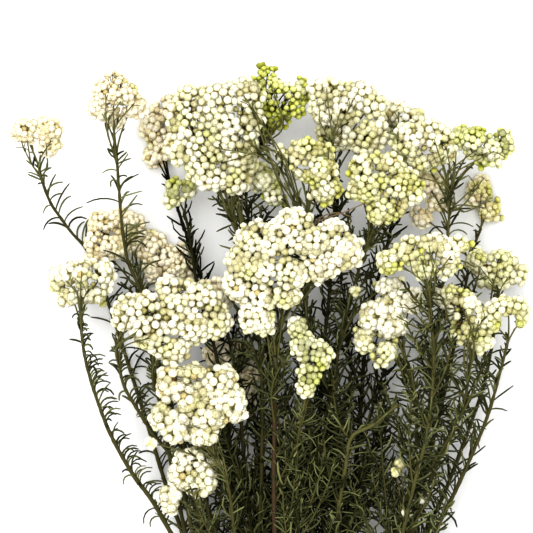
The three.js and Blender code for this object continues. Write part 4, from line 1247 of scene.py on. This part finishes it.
def dress_stem(number, stem):
    """A stem with its leaves, its side shoots and twigs, and the stalks that carry its heads."""
    draw = np.random.default_rng(STEM_SEED + number)
    shape = Shape()
    path = stem["line"]
    # How much painted shade the foliage of this stem gets low down
    back = CROWD_SHADE if number in CROWDED_STEMS else OPEN_SHADE
    thick, young = ODD_STEMS.get(number, USUAL_STEM)
    radii = thick * np.linspace(*STEM_RADII, len(path))
    radii = radii * (1 + RADIUS_STRAY * draw.normal(size=len(path)))
    add_rod(shape, path, radii, STEM_SIDES, young, back, draw)
    add_leaves(shape, path, LEAF_STYLES[STEM_STYLES.get(number, "open")], STEM_BARE, back, draw)
    add_seeded_shoots(shape, SHOOTS.get(number, 0), stem, back, draw)
    for foot, bend, end in SHOWN_SHOOTS.get(number, []):
        line = smooth_path([leaving_place(path, foot), *way(bend, end)], SHOOT_DETAIL)
        add_shoot(shape, line, back, draw)
    for foot, places in BARE_TWIGS.get(number, []):
        line = smooth_path([leaving_place(path, foot), *way(*places)], SHOOT_DETAIL)
        add_rod(shape, line, np.linspace(*TWIG_RADII, len(line)), STALK_SIDES, DRY, 0, draw)
    for head_number in stem["heads"]:
        add_stalks(shape, head_number, stem, back, draw)
    for bend, ends in FRONT_FANS.get(number, []):
        add_front_fan(shape, stem, bend, ends, draw)
    shape.to_piece(f"foliage_{number:02d}", FOLIAGE_MATERIAL, "foliage", f"leafy_stem_{number:02d}")


# The woody foot

def fused(shape):
    """The mesh of a shape with its overlapping skins fused into one."""
    mesh = bpy.data.meshes.new("parts")
    mesh.from_pydata(np.concatenate(shape.points).tolist(), [], shape.faces)
    parts = new_object("parts", mesh)
    skin = parts.modifiers.new("skin", "REMESH")
    skin.mode = "VOXEL"
    skin.voxel_size = WOOD_DETAIL
    one = bpy.data.meshes.new_from_object(parts.evaluated_get(bpy.context.evaluated_depsgraph_get()))
    bpy.data.objects.remove(parts)
    bpy.data.meshes.remove(mesh)
    return one


def dress_wood():
    """The woody foot and its forks as one skin, with bark relief and a flat cut end."""
    shape = Shape()
    foot = smooth_path(WOODY_FOOT, FOOT_DETAIL)
    shape.add(*tube(foot, CUT_END_RADIUS - BARK_RELIEF, FOOT_SIDES))
    for fork in FORKS:
        line = smooth_path(fork, FORK_DETAIL)
        shape.add(*tube(line, np.linspace(*FORK_RADII, len(line)), FORK_SIDES))
    one = fused(shape)
    points = np.array([corner.co for corner in one.vertices])
    outward = np.array([corner.normal for corner in one.vertices])
    low = points[:, 1].min()
    cut = np.clip(1 - (points[:, 1] - low) / CUT_EDGE, 0, 1) * (outward[:, 1] < CUT_FACING)
    grain = points / BARK_GRAIN
    relief = [noise.noise(place) + FINE_BARK_SHARE * noise.noise(place * FINE_BARK) for place in grain]
    relief = np.clip(relief, -DEEPEST_BARK, DEEPEST_BARK)
    points += outward * (BARK_RELIEF * relief * (1 - cut))[:, None]
    points[:, 1] = np.where(cut > CUT_FLAT, low, points[:, 1])
    wood = Shape()
    faces = [list(face.vertices) for face in one.polygons]
    blocks = [np.array([face for face in faces if len(face) == count]) for count in (3, 4)]
    wood.add(points, blocks, cut=cut)
    bpy.data.meshes.remove(one)
    wood.to_piece("woody_stem", WOOD_MATERIAL, "wood", "main_stem")


# Materials

class Recipe:
    """A material's nodes, put together by short calls."""

    def __init__(self, name):
        self.material = bpy.data.materials.new(name)
        self.material.use_nodes = True
        self.tree = self.material.node_tree
        self.shader = self.tree.nodes["Principled BSDF"]
        self.place = self.add("ShaderNodeTexCoord").outputs["Object"]

    def add(self, kind):
        return self.tree.nodes.new(kind)

    def put(self, value, socket):
        """A link, a colour or a number into a socket."""
        if isinstance(value, bpy.types.NodeSocket):
            self.tree.links.new(value, socket)
        elif isinstance(value, tuple):
            socket.default_value = (*value, 1)
        else:
            socket.default_value = value

    def quality(self, name):
        node = self.add("ShaderNodeAttribute")
        node.attribute_name = name
        return node.outputs["Fac"]

    def noise(self, size, detail=MIDDLE):
        """Noise whose patches are about that size across."""
        node = self.add("ShaderNodeTexNoise")
        node.inputs["Scale"].default_value = 1 / size
        node.inputs["Detail"].default_value = detail
        self.put(self.place, node.inputs["Vector"])
        return node.outputs["Fac"]

    def span(self, value, low, high):
        """How far a value is from the low to the high one, from 0 to 1."""
        node = self.add("ShaderNodeMapRange")
        node.inputs["From Min"].default_value = low
        node.inputs["From Max"].default_value = high
        self.put(value, node.inputs["Value"])
        return node.outputs["Result"]

    def between(self, name, low, high):
        return self.span(self.quality(name), low, high)

    def height(self, low, high):
        split = self.add("ShaderNodeSeparateXYZ")
        self.put(self.place, split.inputs[0])
        return self.span(split.outputs["Z"], low, high)

    def blend(self, share, first, second, kind="MIX"):
        node = self.add("ShaderNodeMix")
        node.data_type = "RGBA"
        node.blend_type = kind
        self.put(share, node.inputs[0])
        self.put(first, node.inputs[6])
        self.put(second, node.inputs[7])
        return node.outputs[2]

    def calculate(self, operation, first, second):
        node = self.add("ShaderNodeMath")
        node.operation = operation
        self.put(first, node.inputs[0])
        self.put(second, node.inputs[1])
        return node.outputs[0]

    def times(self, first, second):
        return self.calculate("MULTIPLY", first, second)

    def ramp(self, value, stops):
        node = self.add("ShaderNodeValToRGB")
        while len(node.color_ramp.elements) < len(stops):
            node.color_ramp.elements.new(0.5)
        for element, (position, colour) in zip(node.color_ramp.elements, stops):
            element.position = position
            element.color = (*colour, 1)
        self.put(value, node.inputs[0])
        return node.outputs["Color"]

    def finish(self, colour, roughness, bump_height, bump_size, rough_stray=ROUGH_STRAY):
        self.put(colour, self.shader.inputs["Base Color"])
        rough = self.calculate("MULTIPLY_ADD", self.noise(ROUGH_SIZE), rough_stray)
        rough.node.inputs[2].default_value = roughness - rough_stray / 2
        self.put(rough, self.shader.inputs["Roughness"])
        bump = self.add("ShaderNodeBump")
        bump.inputs["Strength"].default_value = BUMP_STRENGTH
        bump.inputs["Distance"].default_value = bump_height
        self.put(self.noise(bump_size, FINE), bump.inputs["Height"])
        self.put(bump.outputs[0], self.shader.inputs["Normal"])
        return self.material


def blossom_material(look):
    recipe = Recipe(BLOSSOM_SLOTS[look])
    colour = recipe.ramp(recipe.quality("tip"), BLOSSOM_STOPS[look])
    leafy = recipe.ramp(recipe.quality("tip"), GREEN_STOPS)
    colour = recipe.blend(recipe.quality("green"), colour, leafy)
    worn = recipe.times(recipe.quality("shade"), WORN_SHARES[look])
    colour = recipe.blend(worn, colour, WORN_TAN)
    # Darker inner colour: partly the inner buds' own duller tone, partly painted shade on them, on clump
    # edges and on the lowest clumps
    depth = recipe.times(recipe.quality("inner"), INNER_AND_SHADE_SHARE)
    colour = recipe.blend(depth, colour, INNER_AND_SHADE_COLOURS[look])
    colour = recipe.blend(recipe.quality("gold"), colour, HEART_GOLD)
    colour = recipe.blend(recipe.quality("dry"), colour, DRY_BROWN)
    streaks = recipe.times(recipe.noise(STREAK_SIZE, FINE), STREAK_SHARE)
    colour = recipe.blend(streaks, colour, STREAK_COLOUR, "MULTIPLY")
    recipe.shader.inputs["Specular IOR Level"].default_value = BLOSSOM_SHINE
    return recipe.finish(colour, *BLOSSOM_FINISH)


def foliage_material():
    recipe = Recipe("foliage")
    olive = recipe.blend(recipe.noise(OLIVE_SIZE), STEM_OLIVE, STEM_BROWN)
    older = recipe.blend(recipe.between("young", WOODY, OLIVE), STEM_WOODY, olive)
    rod = recipe.blend(recipe.between("young", OLIVE, FRESH), older, STALK_FRESH)
    rod = recipe.blend(recipe.between("young", WOODY, DRY), rod, TWIG_TAN)
    leaf = recipe.ramp(recipe.quality("along"), LEAF_STOPS)
    # Painted light: a random share of leaves is lightened as if lit
    leaf = recipe.blend(recipe.times(recipe.quality("shade"), PAINTED_LEAF_LIGHT_SHARE), leaf, PAINTED_LEAF_LIGHT)
    colour = recipe.blend(recipe.quality("leaf"), rod, leaf)
    # Painted shade: foliage is darkened low down, scaled by each stem's back share
    low_painted_shade = recipe.blend(recipe.height(BACK_HEIGHT, FRONT_HEIGHT), BACK_SHADOW, NO_SHADOW)
    colour = recipe.blend(recipe.quality("back"), colour, low_painted_shade, "MULTIPLY")
    # Painted shade in small patches all over the foliage
    shade_mottle = recipe.times(recipe.noise(SHADE_MOTTLE_SIZE, FINE), SHADE_MOTTLE_SHARE)
    colour = recipe.blend(shade_mottle, colour, LEAF_SHADOW, "MULTIPLY")
    recipe.shader.inputs["Specular IOR Level"].default_value = FOLIAGE_SHINE
    return recipe.finish(colour, *FOLIAGE_FINISH)


def wood_material():
    recipe = Recipe("wood")
    colour = recipe.blend(recipe.noise(BARK_SIZE, FINEST), BARK_DARK, BARK_LIGHT)
    grain = recipe.noise(GRAIN_SIZE, FINEST)
    colour = recipe.blend(recipe.times(grain, GRAIN_SHARE), colour, BARK_DARK, "MULTIPLY")
    reach = recipe.add("ShaderNodeVectorMath")
    reach.operation = "DISTANCE"
    recipe.put(recipe.place, reach.inputs[0])
    recipe.put(CUT_END, reach.inputs[1])
    turns = recipe.times(reach.outputs["Value"], 2 * math.pi / RING_WIDTH)
    rings = recipe.calculate("SINE", turns, 0)
    face = recipe.blend(recipe.span(rings, -1, 1), CUT_DARK, CUT_LIGHT)
    colour = recipe.blend(recipe.quality("cut"), colour, face)
    recipe.shader.inputs["Specular IOR Level"].default_value = WOOD_SHINE
    return recipe.finish(colour, *WOOD_FINISH)


def floor_material():
    recipe = Recipe("floor")
    colour = recipe.blend(recipe.noise(FLOOR_PATCH, COARSE), FLOOR_DARK, FLOOR_LIGHT)
    return recipe.finish(colour, *FLOOR_FINISH)


# Stage

def add_camera():
    camera = new_object("camera", bpy.data.cameras.new("camera"))
    bpy.context.scene.camera = camera
    camera.location = (*at(PHOTO_CENTRE, PHOTO_CENTRE, 0)[:2], CAMERA_DISTANCE)
    camera.data.sensor_width = SENSOR_WIDTH
    camera.data.lens = SENSOR_WIDTH * (CAMERA_DISTANCE - VIEW_HEIGHT) / (PHOTO_SIZE * PIXEL)
    camera.data.clip_end = CAMERA_REACH


def add_floor():
    mesh = bpy.data.meshes.new("floor")
    corners = [(x * FLOOR_HALF, y * FLOOR_HALF, 0) for x, y in ((-1, -1), (1, -1), (1, 1), (-1, 1))]
    mesh.from_pydata(corners, [], [(0, 1, 2, 3)])
    mesh.materials.append(floor_material())
    new_object("floor", mesh)


def add_light():
    world = bpy.data.worlds.new("studio")
    bpy.context.scene.world = world
    world.use_nodes = True
    background = world.node_tree.nodes["Background"]
    background.inputs["Color"].default_value = (1, 1, 1, 1)
    background.inputs["Strength"].default_value = WORLD_STRENGTH
    sun = bpy.data.lights.new("softbox", "SUN")
    sun.energy = SUN_STRENGTH
    sun.angle = math.radians(SUN_SPREAD)
    light = new_object("softbox", sun)
    light.rotation_euler = [math.radians(angle) for angle in SUN_TILT]
    bpy.context.scene.view_settings.view_transform = "Standard"
    bpy.context.scene.view_settings.look = "High Contrast"


BLOSSOM_SLOTS = {"white": "blossom", "dull": "blossom_dull", "green": "blossom_green"}
BLOSSOM_STOPS = {"white": WHITE_STOPS, "dull": DULL_STOPS, "green": WHITE_STOPS}
BLOSSOM_MATERIALS = {look: blossom_material(look) for look in BLOSSOM_SLOTS}
FOLIAGE_MATERIAL = foliage_material()
WOOD_MATERIAL = wood_material()
BUD_FORMS = [bud_form(opening, BRACT_LAYERS) for opening in BUD_OPENINGS]
INNER_FORMS = [bud_form(0, BRACT_LAYERS[1:2])]

add_camera()
add_floor()
add_light()
for stem in LEAFY_STEMS.values():
    stem["line"] = smooth_path(stem["path"], STEM_DETAIL)
    stem["length"] = distances(stem["line"])[-1]
for number, head in HEADS.items():
    dress_head(number, head)
for number, stem in LEAFY_STEMS.items():
    dress_stem(number, stem)
dress_wood()
